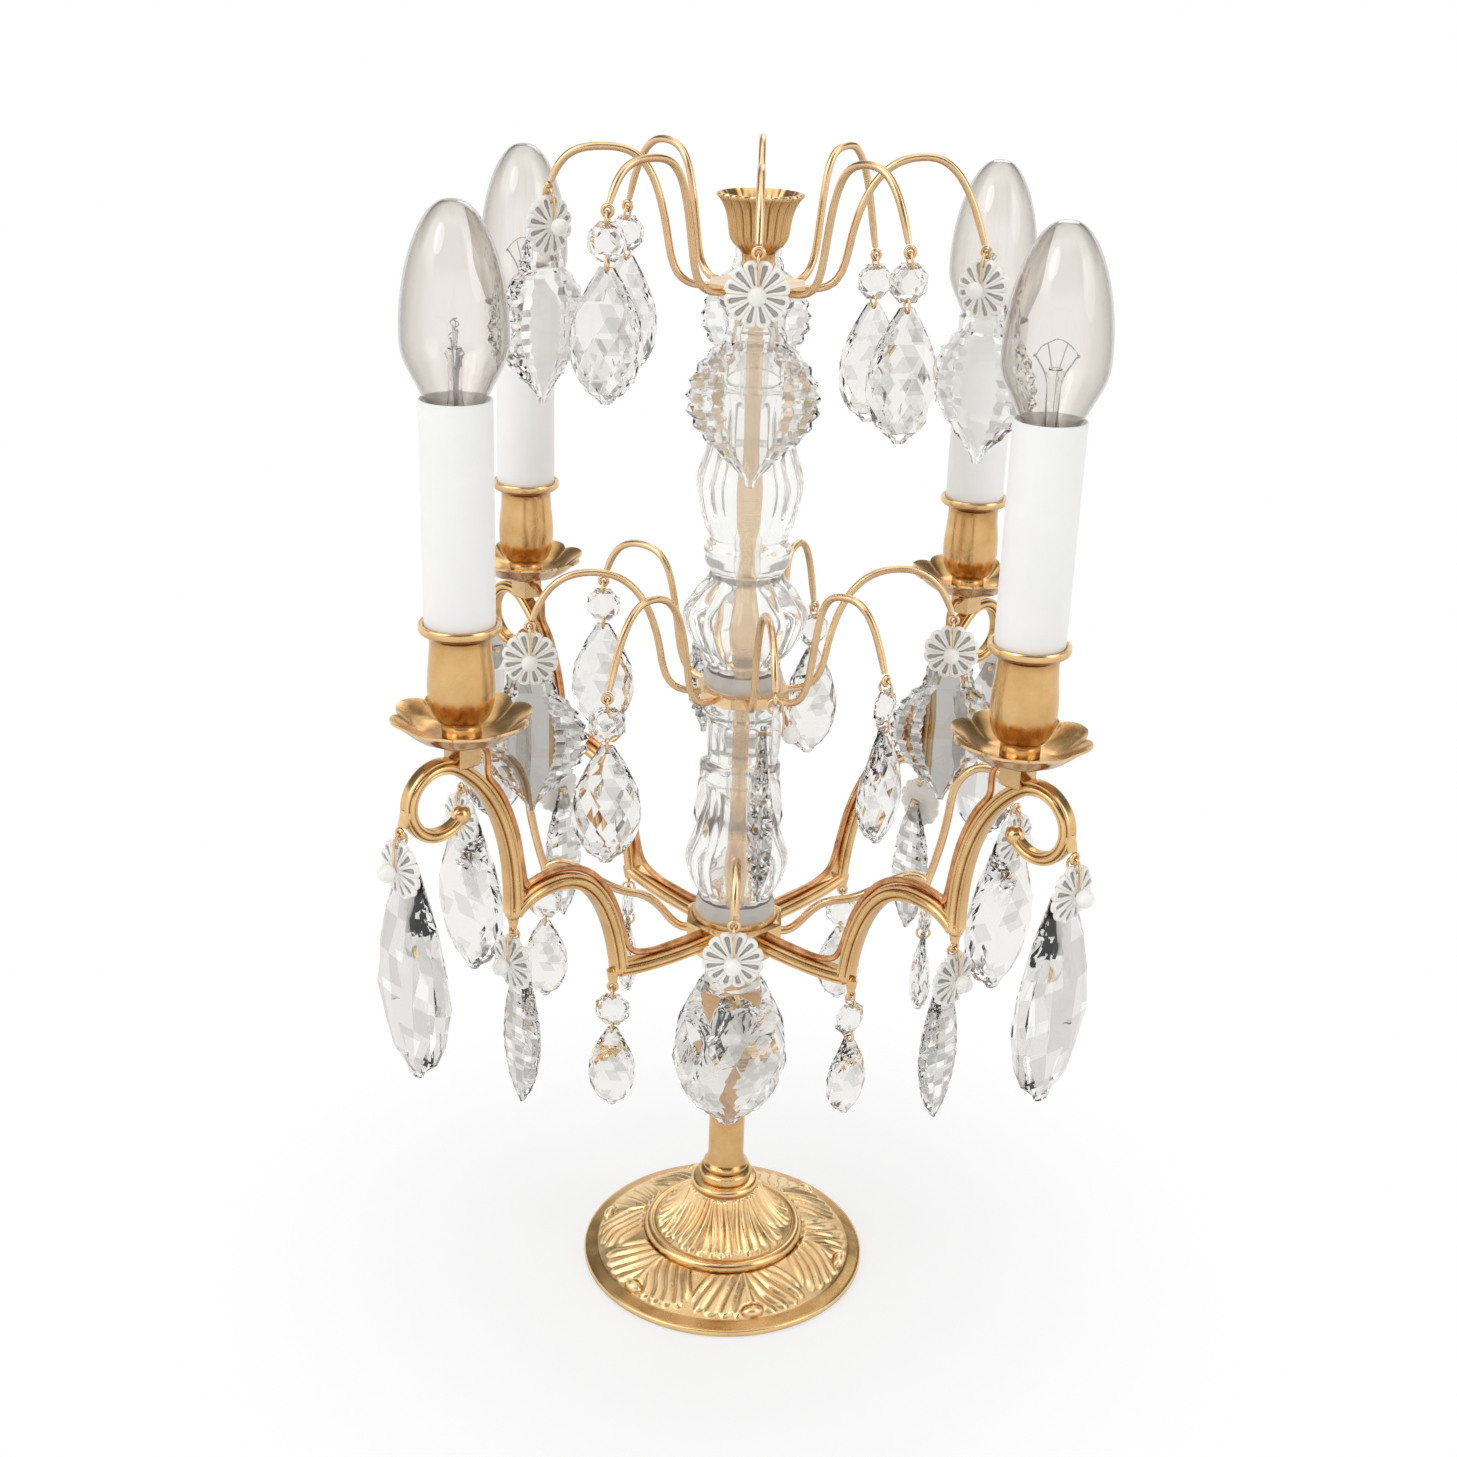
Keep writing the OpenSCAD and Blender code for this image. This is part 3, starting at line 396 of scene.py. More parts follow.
def pressed_glass(name, low, high, clear):
    """Cloudy pressed glass with painted shade: greyer in its creases than along its raised edges."""
    m, nt, b = new_material(name)
    geo = nt.nodes.new("ShaderNodeNewGeometry")
    # Painted shade: the creases take the low colour, the raised edges the high one.
    tint_by(nt, b, geo.outputs["Pointiness"], [(0.45, low), (0.52, high)])
    rough_by(nt, b, noise(nt, 200, 3, 0.5), (0.3, 0.04), (0.7, 0.12))
    b.inputs["Transmission Weight"].default_value = clear
    b.inputs["IOR"].default_value = SODA_IOR
    let_light_through(nt, b, 0.8)
    return m


def plain(name, low, high, rough, scale):
    """Cloudy moulded or painted surface."""
    m, nt, b = new_material(name)
    tint_by(nt, b, noise(nt, scale, 5, 0.6), [(0.3, low), (0.75, high)])
    rough_by(nt, b, noise(nt, scale * 2.5), (0.3, rough * 0.85), (0.7, rough * 1.15))
    bump(nt, b, noise(nt, scale * 8, 4, 0.6), 0.1)
    return m


def flex_material():
    """Copper-coloured flex with a smooth clear sleeve."""
    m, nt, b = new_material("copper_flex")
    tint_by(nt, b, noise(nt, 140, 4, 0.6),
            [(0.3, (0.4, 0.15, 0.045)), (0.52, (0.68, 0.32, 0.115)), (0.75, (0.92, 0.55, 0.26))])
    for key, value in (("Metallic", 0.75), ("Roughness", 0.25), ("Coat Weight", 0.6), ("Coat Roughness", 0.1)):
        b.inputs[key].default_value = value
    bump(nt, b, noise(nt, 500, 3, 0.5), 0.05)
    return m


# Refractive indices of the cut, moulded and thin blown glass
CUT_IOR, SODA_IOR, THIN_IOR = 1.54, 1.5, 1.46

GILT = metal("gilt_brass", (0.93, 0.66, 0.34), (0.68, 0.405, 0.16), (0.2, 0.092, 0.03), 0.21)
SATIN = metal("satin_gilt", (1.0, 0.85, 0.54), (0.94, 0.645, 0.315), (0.3, 0.125, 0.04), 0.3)
WIRE = metal("antique_brass", (0.96, 0.69, 0.4), (0.72, 0.46, 0.24), (0.19, 0.095, 0.042), 0.22)
STEEL = metal("plain_steel", grey(0.75), grey(0.6), grey(0.35), 0.35)
CAP = metal("lamp_cap", (0.86, 0.82, 0.74), (0.72, 0.66, 0.56), (0.4, 0.34, 0.26), 0.25)
FILAMENT = metal("tungsten", grey(0.62), grey(0.48), grey(0.3), 0.3, wear_and_shade=False)
# Cut glass: the grey and the darker crystal are tinted dark as painted shade; the bright crystal also gives painted
# glints on facets of darkened drops.
CRYSTAL = glass("cut_crystal", (0.88, 0.87, 0.845), CUT_IOR, 0.02)
BRIGHT = glass("bright_crystal", (0.94, 0.938, 0.92), CUT_IOR, 0.02)
SHADED_CRYSTAL = glass("shaded_crystal", (0.47, 0.455, 0.43), CUT_IOR, 0.02)
GREY = glass("grey_crystal", (0.64, 0.625, 0.6), CUT_IOR, 0.02)
PRESSED = pressed_glass("pressed_glass", (0.85, 0.835, 0.79), (0.985, 0.975, 0.935), 0.22)
# Dark glass for the rosettes' hollows: painted shade.
HOLLOW_SHADE = pressed_glass("pressed_hollow_shade", (0.36, 0.335, 0.3), (0.58, 0.56, 0.52), 0.5)
COLUMN = glass("moulded_glass", (0.985, 0.985, 0.965), SODA_IOR, 0.03, ripple=0.05, clear=0.86)
# Paler, cloudier glass for the balusters' lowest rows: painted light over the shade where the glass stands on the
# brass.
COLLAR = glass("moulded_collar", (1.0, 0.965, 0.9), SODA_IOR, 0.1, clear=0.45)
# The lamp glass darkens towards its outline: partly its longer path through the wall, partly painted shade.
LAMP = glass("lamp_glass", (0.835, 0.82, 0.8), THIN_IOR, 0.02, shadow=0.95,
             rim=[(0.05, (0.92, 0.895, 0.865)), (0.42, (0.76, 0.73, 0.69)),
                  (0.76, (0.43, 0.4, 0.37)), (1.0, (0.25, 0.23, 0.21))])
LAMP_STEM = glass("lamp_stem_glass", (0.96, 0.955, 0.945), THIN_IOR, 0.03, shadow=0.95)
SLEEVE = plain("white_sleeve", (0.9, 0.895, 0.88), (0.93, 0.925, 0.915), 0.5, 60)
IVORY = plain("ivory_insulator", (0.78, 0.74, 0.62), (0.86, 0.83, 0.74), 0.35, 80)
FLEX = flex_material()


# ---------------------------------------------------------------- foot, stem and cup

# Points along the upper line of the foot: rim, outer band, ridge ring and inner band
RIM_N, OUTER_N, RIDGE_N, INNER_N = 7, 60, 5, 70
FOOT_COLS = 840
LEAVES = 6
LEAF_RISE, BERRY_RISE = 1.55, 3.0


def foot_profile():
    """Upper line of the foot, from its rim to its collar."""
    r, k, n = 60.0, 32.0, 13.5
    line = [[[r - 0.6, 0], [r, 0.6], [r, 2.4], [r - 0.5, 2.9], [r - 1.4, 3.0], [r - 4.2, 3.9], [r - 5, 4]],
            bez([r - 5, 4], [r - 13, 7], [k + 12, 10], [k + 2, 12], OUTER_N),
            [[k + 2, 13.5], [k + 1.2, 15], [k, 15.6], [k - 1.2, 15.4], [k - 2, 15]],
            bez([k - 2, 15], [k - 9, 17], [n + 2, 24], [n, 34], INNER_N),
            [[n + 0.2, 34.8], [n + 0.9, 35.6], [n + 0.9, 36.8], [n + 0.2, 37.6], [n - 0.6, FOOT_TOP]]]
    return np.vstack([np.asarray(v, float) for v in line])


def leaf_relief(t, q, strands, bend, drift):
    """Height of a feathered leaf: t runs from base to tip, q over its width with the rib at 0."""
    t, u = np.clip(t, 0, 1), np.abs(q)
    ridge = (0.5 + 0.5 * np.cos(TAU * (strands * (u - bend * t ** 0.7) + drift))) ** 0.62
    edge = 0.74 + 0.24 * np.sin(math.pi * np.clip(t * 0.75 + 0.12, 0, 1)) + 0.05 * ridge
    tip = 0.92 + 0.07 * ridge - 0.1 * u ** 4
    inside = step(0.0, 0.1, tip - t) * step(0.0, 0.06, t) * step(0.0, 0.16, edge - u)
    rib = np.exp(-(u / (0.05 + 0.05 * t)) ** 2)
    return inside * (0.25 + np.maximum(ridge * (0.4 + 0.35 * np.sin(math.pi * t)), 0.95 * rib))


def drift_waves(rng, a, t):
    """Slow uneven waves over a band of leaves."""
    total = 0
    for _ in range(6):
        height, count = rng.uniform(0.05, 0.11), rng.integers(3, 17)
        slope, phase = rng.uniform(2, 8), rng.uniform(0, TAU)
        total = total + height * np.sin(count * a + slope * t + phase)
    return total


def build_foot():
    p = foot_profile()
    a = np.linspace(0, TAU, FOOT_COLS, endpoint=False)
    tang = unit(np.gradient(p, axis=0))
    normal = np.stack([tang[:, 1], -tang[:, 0]], 1)
    rise = np.zeros((len(p), FOOT_COLS))
    rng = np.random.default_rng(7)
    grain = rng.normal(0, 1, (len(p), FOOT_COLS))
    grain = (grain + np.roll(grain, 1, 1) + np.roll(grain, 1, 0)) / 3
    chased = np.zeros((len(p), 1), bool)
    outer, inner = RIM_N, RIM_N + OUTER_N + RIDGE_N
    for start, n, turn, strands, bend in ((outer, OUTER_N, 0.75, 4.6, 0.5), (inner, INNER_N, 0.3, 3.4, 0.35)):
        t = np.linspace(1, 0, n)[:, None]
        q = 2 * ((a[None, :] * LEAVES / TAU + turn) % 1.0) - 1
        drift = drift_waves(rng, a[None, :], t)
        leaf = leaf_relief(t, q, strands, bend, drift) * (1 + 0.9 * drift)
        fade = step(0, 0.05, t) * step(0, 0.05, 1 - t)
        band = fade * (LEAF_RISE * leaf + 0.04 * grain[start:start + n])
        if start == outer:
            berry = np.hypot(q * TAU * 50 / LEAVES / 2 / 4.2, (t - 0.86) * 25 / 3.0)
            dome = BERRY_RISE * np.sqrt(np.clip(1 - berry ** 2, 0, 1))
            band = np.maximum(band * step(0.9, 1.4, berry), dome)
        rise[start:start + n] = band
        chased[start + 1:start + n - 2] = True
    top = round_rows(p[:, :1] + normal[:, :1] * rise, p[:, 1:] + normal[:, 1:] * rise, a)
    under = np.array([[BORE_R, FOOT_TOP], [BORE_R, 24], [11, 24], [27, 10], [36, 8], [53, 0.8], [53, 0]])
    s = Shape().grid(np.concatenate([top, round_rows(under[:, :1], under[:, 1:], a)]), closed=True)
    s.marks = np.flatnonzero(np.repeat(chased, FOOT_COLS, 1).ravel()).tolist()
    piece(s, "foot_cast", GILT, "root", 50, ["foot"], marked=SATIN)


def build_stem():
    half = np.array([[10.2, 0], [11, 0.8], [11, 3.6], [10.4, 4.4], [9.2, 4.8], [9.6, 5.6], [9.6, 6.8], [8.6, 7.6],
                     [7.9, 9], [7.5, 12], [7.5, 40], [7.5, 54], [8.0, 54.6], [8.0, 55]])
    line = np.vstack([[[BORE_R, FOOT_TOP]], half + [0, FOOT_TOP], (half * [1, -1] + [0, HUB_Z])[::-1],
                      [[BORE_R, HUB_Z]]])
    piece(lathe(line), "stem_turned", GILT, "root", 35, ["stem"])


def build_hub():
    """Boss with eight flats, round above and below them."""
    t = np.linspace(0, TAU, 96, endpoint=False)
    rows = []
    for z, r in ((0, 17), (0.4, 17), (1.5, 17.2), (1.5, 18.1), (2.6, HUB_R), (14.4, HUB_R), (15.5, 18.1), (15.5, 17.2),
                 (16.6, 17), (17, 17)):
        flats = r / np.cos((t + math.pi / 8) % (math.pi / 4) - math.pi / 8)
        rows.append(round_rows(flats if 2 < z < 15 else r, HUB_Z + z, t))
    rows += [round_rows(BORE_R, HUB_Z + z, t) for z in (17, 0)]
    piece(Shape().grid(np.array(rows), closed=True), "hub_boss", GILT, "root", 30, ["hub"])


def build_top_cup():
    d, h, r, flutes = 15.0, 31.0, 15.5, 22
    outer = np.vstack([[[8.4, 0], [9, 0.5], [9, 1.4], [7.2, 2.4], [6, 3.5], [5.6, 5], [6.4, 6.2], [6, 7.4], [6, d - 6]],
                       bez([6, d - 6], [6, d - 3], [r - 5, d - 3], [r - 4.5, d + 3], 12),
                       bez([r - 4.5, d + 3], [r - 4, d + 8], [r - 3, h - 4], [r, h - 1.2], 14),
                       [[r + 0.1, h - 0.5], [r - 0.3, h]]])
    inner = np.vstack([[[r - 1.3, h]],
                       bez([r - 1.3, h], [r - 4.6, h - 4], [r - 6, d + 8], [r - 6.2, d + 4], 10),
                       [[r - 9, d], [BORE_R, d - 1], [BORE_R, 0]]])
    line = np.vstack([outer, inner]) + [0, TOP_CUP_Z]

    def wave(a, k):
        z = line[k[:, 0], 1] - TOP_CUP_Z
        share = (step(d - 4, d + 2, z) * (k[:, 0] < len(outer)))[:, None]
        lip = step(h - 5, h - 1, z)[:, None]
        c = np.abs(np.cos(a * flutes / 2))
        return 1 - share * (1 - 0.6 * lip) * 0.075 * (1 - c) ** 1.2 - lip * 0.02 * (1 - c)

    piece(lathe(line, 12 * flutes, wave), "top_cup_fluted", GILT, "root", 45, ["top_cup"])


# ---------------------------------------------------------------- glass column

FLUTES, FLUTE_DEPTH = 12, 1.7
COLLAR_H = 7.0


def build_baluster(name, node_name, z0, sections):
    """Fluted glass through sections of [height, diameter, share of the flute depth]."""
    sec = np.array(sections, float)
    z = np.concatenate([np.linspace(a, b, 7)[:-1] for a, b in zip(sec[:-1, 0], sec[1:, 0])] + [sec[-1:, 0]])
    d = pchip(sec[:, 0], sec[:, 1], z)
    f = np.interp(z, sec[:, 0], sec[:, 2])
    a = np.linspace(0, TAU, 14 * FLUTES, endpoint=False)
    flute = 1 - np.abs(np.cos(a * FLUTES / 2)) ** 0.8
    side = round_rows(d[:, None] / 2 - FLUTE_DEPTH * f[:, None] * flute, z[:, None], a)
    bore = round_rows(np.full((2, 1), BORE_R), z[[-1, 0], None], a)
    s = Shape().grid(np.concatenate([side, bore]) + [0, 0, z0], closed=True)
    # The lowest rows take the collar glass: painted light over the shade where the glass stands on the brass.
    s.marks = list(range(len(a) * int(np.count_nonzero(z < COLLAR_H))))
    piece(s, name, COLUMN, "root", 32, [node_name], marked=COLLAR)


def build_column():
    """Both balusters: n, f and b are the diameters of neck, flange and belly, h is the height."""
    n, f, b, h = 26, 32, 41, 93
    build_baluster("column_lower", "lower_baluster", LOWER_Z, [
        [0, f - 1, 0], [1, f, 0], [4, f, 0], [5, f - 0.6, 0], [8, n + 4, 0.3], [15, b - 4, 1], [24, b, 1],
        [36, b - 7, 1], [50, n, 0.6], [57, n, 0], [60, f, 0], [64, f, 0], [67, n, 0.6], [h - 12, n, 0.6],
        [h - 8, n + 2, 0], [h - 4, f, 0], [h - 1, f, 0], [h, f - 1, 0]])
    n, b, h = 28, 48, 150
    build_baluster("column_upper", "upper_baluster", UPPER_Z, [
        [0, f - 3, 0], [1, f - 2, 0], [3, f - 1, 0], [9, n, 0.4], [19, b - 7, 1], [29, b, 1], [38, b - 9, 1],
        [46, n, 0.4], [50, f, 0], [55, f + 1, 0], [59, n + 2, 0], [64, f + 1, 0], [71, 37, 0.9], [80, 40, 1],
        [94, 33, 1], [110, n - 4, 0.6], [116, n - 3, 0], [119, f - 2, 0], [123, f - 2, 0], [127, n - 5, 0.5],
        [h - 8, n - 6, 0.5], [h - 4, f - 5, 0], [h - 1, f - 5, 0], [h, f - 6, 0]])


# ---------------------------------------------------------------- wires and arms

EYE_R, EYE_HOLE, EYE_T = 2.4, 0.95, 1.5
CROWN_R, SPRAY_R, FLEX_R = 1.4, 1.7, 1.3
ARM_W = 6.0
ARM_ROOT, ARM_LOW, ARM_CUSP = (np.array(v, float) for v in ((HUB_R, 0), (62, 4), (113, 45)))
ARM_ARCH = np.array([62 + 0.62 * 51, 51.0])
SCROLL = np.array([144.0, 97.0])
SCROLL_R, SCROLL_FROM, SCROLL_SWEEP = 13, 125, 265


def polar(child):
    """Azimuth, radius and height of a hanging eye, and the way that it faces."""
    j = JOINTS[child]
    x, y, z = (v / MM for v in j["pos_m"])
    return math.degrees(math.atan2(y, x)), math.hypot(x, y), z, math.degrees(math.atan2(j["axis"][1], j["axis"][0]))


def eye(shape, p, face):
    """Flattened, pierced end of a wire at p."""
    e = (EYE_R - EYE_HOLE) / 2
    a = np.linspace(0, TAU, 28, endpoint=False)[:, None]
    b = np.linspace(0, TAU, 10, endpoint=False)
    m = np.array(Matrix.Rotation(math.radians(face), 3, "Z"))
    out = EYE_HOLE + e + e * np.cos(b)
    ring = np.stack([np.broadcast_to(EYE_T / 2 * np.sin(b), (len(a), len(b))), out * np.cos(a), out * np.sin(a)], 2)
    shape.grid(ring @ m.T + np.asarray(p, float), closed=True)


def build_crown(tag, z, arch, node_name):
    """Arched wires of a crown, from its plate to the eyes of its drops."""
    s = Shape()
    for child in JOINTS:
        if child.startswith(tag):
            az, r, ez, face = polar(child)
            root, knee = np.array([PLATE_R, 0]), np.array([32.0, 14.0])
            top, end = np.array([r * 0.72, arch]), np.array([r, ez - z])
            line = np.vstack([root, bez(root, root + [9, 0], knee - [2, 12], knee, 8),
                              bez(knee, knee + [4, arch - 22], top - [13, 0], top, 14),
                              bez(top, top + [(r - top[0]) * 0.6, 0], end + [-4, 12], end, 14)])
            path = turned(az, line[np.hypot(*(line - end).T) > 1.7] + [0, z])
            radius = np.full(len(path), CROWN_R)
            radius[-3:] = (1.35, 1.25, 1.1)
            tube(s, path, radius, 12)
            eye(s, turned(az, [[r, ez]])[0], face)
    piece(s, node_name + "_drawn", WIRE, "root", 50, [node_name])


def moulding(shape, line, w, az):
    """Moulded bar along a line in the arm's plane: w is its width at each point."""
    half = np.array([[0.5, 1.6], [0.485, 2.3], [0.44, 2.7], [0.32, 2.75], [0.25, 2.45], [0.21, 2.9], [0.15, 3.45],
                     [0.0, 3.75]])
    side = np.vstack([half, (half * [-1, 1])[-2::-1]])
    sec = np.vstack([side, (side * [1, -1])[::-1]])
    line = np.asarray(line, float)
    t = unit(np.gradient(line, axis=0))
    nrm = np.stack([-t[:, 1], t[:, 0]], 1)
    w = np.broadcast_to(w, len(line))
    scale = np.clip(w / ARM_W, 0.55, 1)
    a = math.radians(az)
    q = line[:, None, :] + nrm[:, None, :] * (sec[None, :, 0:1] * w[:, None, None])
    x, z = q[..., 0], q[..., 1]
    y = sec[None, :, 1] * scale[:, None]
    p = np.stack([x * math.cos(a) - y * math.sin(a), x * math.sin(a) + y * math.cos(a), z], 2)
    shape.grid(p)
    shape.cap(p[0])
    shape.cap(p[-1][::-1])


def scroll_at(deg, r=SCROLL_R):
    return SCROLL + r * np.array([math.cos(math.radians(deg)), math.sin(math.radians(deg))])


def arm_lines(n1, n2, n3, n4):
    """Lower bow, arch and rise of a candle arm; the counts are the points of each curve."""
    s0 = scroll_at(SCROLL_FROM)
    low = np.vstack([ARM_ROOT, bez(ARM_ROOT, ARM_ROOT + [14, 0], ARM_LOW - [14, 3], ARM_LOW, n1)])
    arch = np.vstack([ARM_LOW, bez(ARM_LOW, ARM_LOW + [3, 24], ARM_ARCH - [20, 1], ARM_ARCH, n2),
                      bez(ARM_ARCH, ARM_ARCH + [8, 0], ARM_CUSP + [-6, 5], ARM_CUSP, n3)])
    rise = np.vstack([ARM_CUSP, bez(ARM_CUSP, ARM_CUSP + [-1, 28], s0 - [17, 12], s0, n4)])
    return low, arch, rise


def tab(shape, az, top, child, w=2.6):
    """Tapered tongue from an arm down to the pierced eye of a drop."""
    _, r, z, face = polar(child)
    p = np.array([r, z - ROOT_Z])
    line = np.linspace(top, p, 8)
    keep = np.hypot(*(line - p).T) > 1.9
    tube(shape, turned(az, line[keep] + [0, ROOT_Z]), np.linspace(w, 1.3, 8)[keep], 10)
    eye(shape, turned(az, [p + [0, ROOT_Z]])[0], face)


def build_candle_arms():
    s = Shape()
    up = np.array([0, ROOT_Z])
    low, arch, rise = arm_lines(16, 22, 12, 24)
    curl = np.array([scroll_at(SCROLL_FROM - SCROLL_SWEEP * v, SCROLL_R * (1 - 0.12 * v * v))
                     for v in np.linspace(0, 1, 40)])
    scrolled = np.vstack([rise, curl[1:]]) + up
    rows = [np.array([[w, -w, z], [w, w, z], [-w, w, z], [-w, -w, z]])
            for z, w in ((264, 3.6), (265, 4.5), (271.5, 4.5), (272.6, 5.3), (274, 5.3))]
    seat = Shape().grid(np.array(rows))
    seat.cap(rows[0][::-1])
    seat.cap(rows[-1])
    for name, az in CORNERS.items():
        moulding(s, low + up, ARM_W, az)
        moulding(s, arch + up, ARM_W, az)
        moulding(s, scrolled, np.linspace(ARM_W, 4.2, len(scrolled)), az)
        ball(s, turned(az, [curl[-1] + up])[0], 3.5, 20)
        for c in (ARM_LOW, ARM_CUSP):
            ball(s, turned(az, [c + up])[0], 3.25, 18)
        tab(s, az, ARM_LOW + [3, 0], "lug_drop_" + name)
        tab(s, az, ARM_CUSP, "cusp_drop_" + name)
        tab(s, az, scroll_at(0), "scroll_drop_" + name)
        s.merge(seat, at(az, CANDLE_R, 0))
    piece(s, "candle_arms_moulded", GILT, "root", 42, ["candle_arms"])


def build_flexes():
    """Flexes that lie along the candle arms and end beside the cups' seats."""
    low, arch, rise = arm_lines(6, 8, 4, 9)
    off = ARM_W / 2 + FLEX_R + 0.3
    end = CANDLE_R - 4.5

    def aside(p, i):
        t = unit(p[min(i + 1, len(p) - 1)] - p[max(i - 1, 0)])
        return p[i] + off * np.array([-t[1], t[0]])

    pts = ([[HUB_R + 0.3, off]] + [aside(low, i) for i in (2, 4)] + [ARM_LOW + [-off - 1, off + 2]]
           + [aside(arch, i) for i in range(2, 11)] + [ARM_CUSP + [-off - 1, off + 5]]
           + [aside(rise, i) for i in range(3, 8)]
           + [[end - x, 118 - z] for x, z in ((6, 8.5), (3, 4.3), (0.3, 4))])
    line = smooth_line(pts, 5) + [0, ROOT_Z]
    s = Shape()
    for az in CORNERS.values():
        tube(s, turned(az, line), FLEX_R, 10)
    piece(s, "arm_flexes_laid", FLEX, "root", 60, ["arm_flexes"])


def build_spray_arms():
    s = Shape()
    cusp, knee, side = np.array([77.0, 24]), np.array([42.35, 14.88]), np.array([84.0, 60])
    root = np.array([HUB_R, 0.0])
    up = np.array([0, ROOT_Z])
    for name, az in SIDES.items():
        _, r, z, face = polar("spray_end_drop_" + name)
        end = np.array([r, z - ROOT_Z])
        low = np.vstack([root, bez(root, root + [9, 0], knee - [14, 1], knee, 12),
                         bez(knee, knee + [14, 1], cusp + [-9, 10], cusp, 12)])
        high = np.vstack([cusp, bez(cusp, cusp + [4, 14], side - [1, 12], side, 12),
                          bez(side, side + [2, 20], end + [-5, 22], end, 18)])
        high = high[np.hypot(*(high - end).T) > 1.8]
        taper = np.concatenate([np.full(len(high) - 5, SPRAY_R), np.linspace(1.65, 1.1, 5)])
        tube(s, turned(az, low + up), SPRAY_R, 12)
        tube(s, turned(az, high + up), taper, 12)
        ball(s, turned(az, [cusp + up])[0], 1.9, 14)
        eye(s, turned(az, [end + up])[0], face)
        tab(s, az, cusp, "spray_cusp_drop_" + name, 1.6)
    piece(s, "spray_arms_drawn", WIRE, "root", 50, ["spray_arms"])


# ---------------------------------------------------------------- candles

CAP_H = 26


def on_candles(part, z):
    """A shape repeated at height z on the axes of the four candles."""
    s = Shape()
    for az in CORNERS.values():
        s.merge(part, at(az, CANDLE_R, z))
    return s


def build_pans():
    r0, hole, floor, dish, t, lobes = 24.5, 5.3, 8.1, 8.0, 1.6, 8
    curve = np.vstack([[[hole, 0], [floor, 0]],
                       bez([floor, 0], [r0 * 0.75, 0], [r0 * 0.8, dish * 0.6], [r0 + 1, dish], 18)])
    a = np.linspace(0, TAU, 30 * lobes, endpoint=False)
    lobe = np.abs(np.sin(lobes / 2 * a))
    edge = r0 * (0.87 + 0.13 * lobe ** 0.8)
    share = curve[:, :1] / curve[-1, 0]
    r = hole + (edge - hole) * ((curve[:, :1] - hole) / (curve[-1, 0] - hole))
    dip = 1.1 * (1 - lobe) ** 2 * step(0.4, 1, share)
    rib = 0.35 * np.cos(lobes * a) * (step(0.35, 0.6, share) * step(0, 0.12, 1 - share))
    z = np.maximum(curve[:, 1:] - dip - rib, 0)
    thick = t - 0.7 * step(0.6, 1, share)
    pan = Shape().grid(np.concatenate([round_rows(r, z, a), round_rows(r, z + thick, a)[::-1]]), closed=True)
    piece(on_candles(pan, PAN_Z), "drip_pans_scalloped", GILT, "root", 50, ["drip_pans"])


def build_cups():
    r, h, hole, foot, belly, neck = 14.0, CUP_TOP - CUP_Z, 5.2, 6.9, 11.5, 10.4
    seat = SLEEVE_Z - CUP_Z
    line = np.vstack([[[hole, 0], [foot - 0.3, 0], [foot, 0.3], [foot, 3.5], [foot - 0.3, 3.9], [foot - 0.4, 4.6]],
                      bez([foot - 0.4, 4.6], [foot + 2.6, 5.4], [belly, 10], [belly, 17], 18),
                      bez([belly, 17], [belly, 24], [neck, 27], [neck, h - 5.4], 14),
                      [[neck + 0.3, h - 4.6], [neck + 1.2, h - 4], [r - 1, h - 3.3], [r - 0.25, h - 2.7],
                       [r, h - 2], [r, h - 0.5], [r - 0.35, h], [12.6, h], [12.2, h - 0.3], [12.2, seat],
                       [hole, seat]]])
    cups = on_candles(lathe(line, 72), CUP_Z)
    piece(cups, "candle_cups_turned", GILT, "root", 40, ["candle_cups"])


def build_sleeves():
    h = SLEEVE_TOP - SLEEVE_Z
    line = [[11.1, 0], [11.9, 0], [12, 0.3], [12, h - 0.7], [11.9, h - 0.2], [11.6, h], [11.3, h - 0.1],
            [11.1, h - 0.4]]
    sleeves = on_candles(lathe(line, 72), SLEEVE_Z)
    piece(sleeves, "candle_sleeves_white", SLEEVE, "root", 40, ["candle_sleeves"])


def bulb_line(w):
    """Line of a lamp's glass, w inside its outer face."""
    r, s, m, c, t = 17.5 - w, 6.25 - w, 10.0 - w, CAP_Z + CAP_H, SLEEVE_TOP
    return np.vstack([[[s, c - 3.6], [s, c]],
                      bez([s, c], [s, c + 3], [m, t - 1], [r - 4.3, t + 6], 12),
                      bez([r - 4.3, t + 6], [r - 1, t + 12], [r, t + 15], [r, t + 20], 10),
                      bez([r, t + 20], [r, t + 42], [r - 7.5, t + 60.5 - w], [2.2, t + 61.8 - w], 26),
                      [[1, t + 61.97 - w], [0, t + 62 - w]]])


def filament_shape(z0):
    """Bent filament with its two leads and two supports, above a lamp's stem."""
    s = Shape()
    tube(s, [[7.5 * math.sin(v), 0.8 * math.cos(9 * v), z0 + 31 + 3 * math.cos(2 * v)]
             for v in np.linspace(-1.3, 1.3, 60)], 0.22, 6)
    for x in (-7.2, 7.2):
        lead = [[x * 0.15, 0, z0 + 4], [x * 0.3, 0, z0 + 20], [x * 0.75, 0, z0 + 27], [x, 0, z0 + 29.3]]
        tube(s, smooth_line(lead, 5), 0.3, 6)
    for x in (-3.0, 3.0):
        tube(s, [[x * 0.4, 0, z0 + 25], [x, 0, z0 + 32.6]], 0.2, 6)
    return s


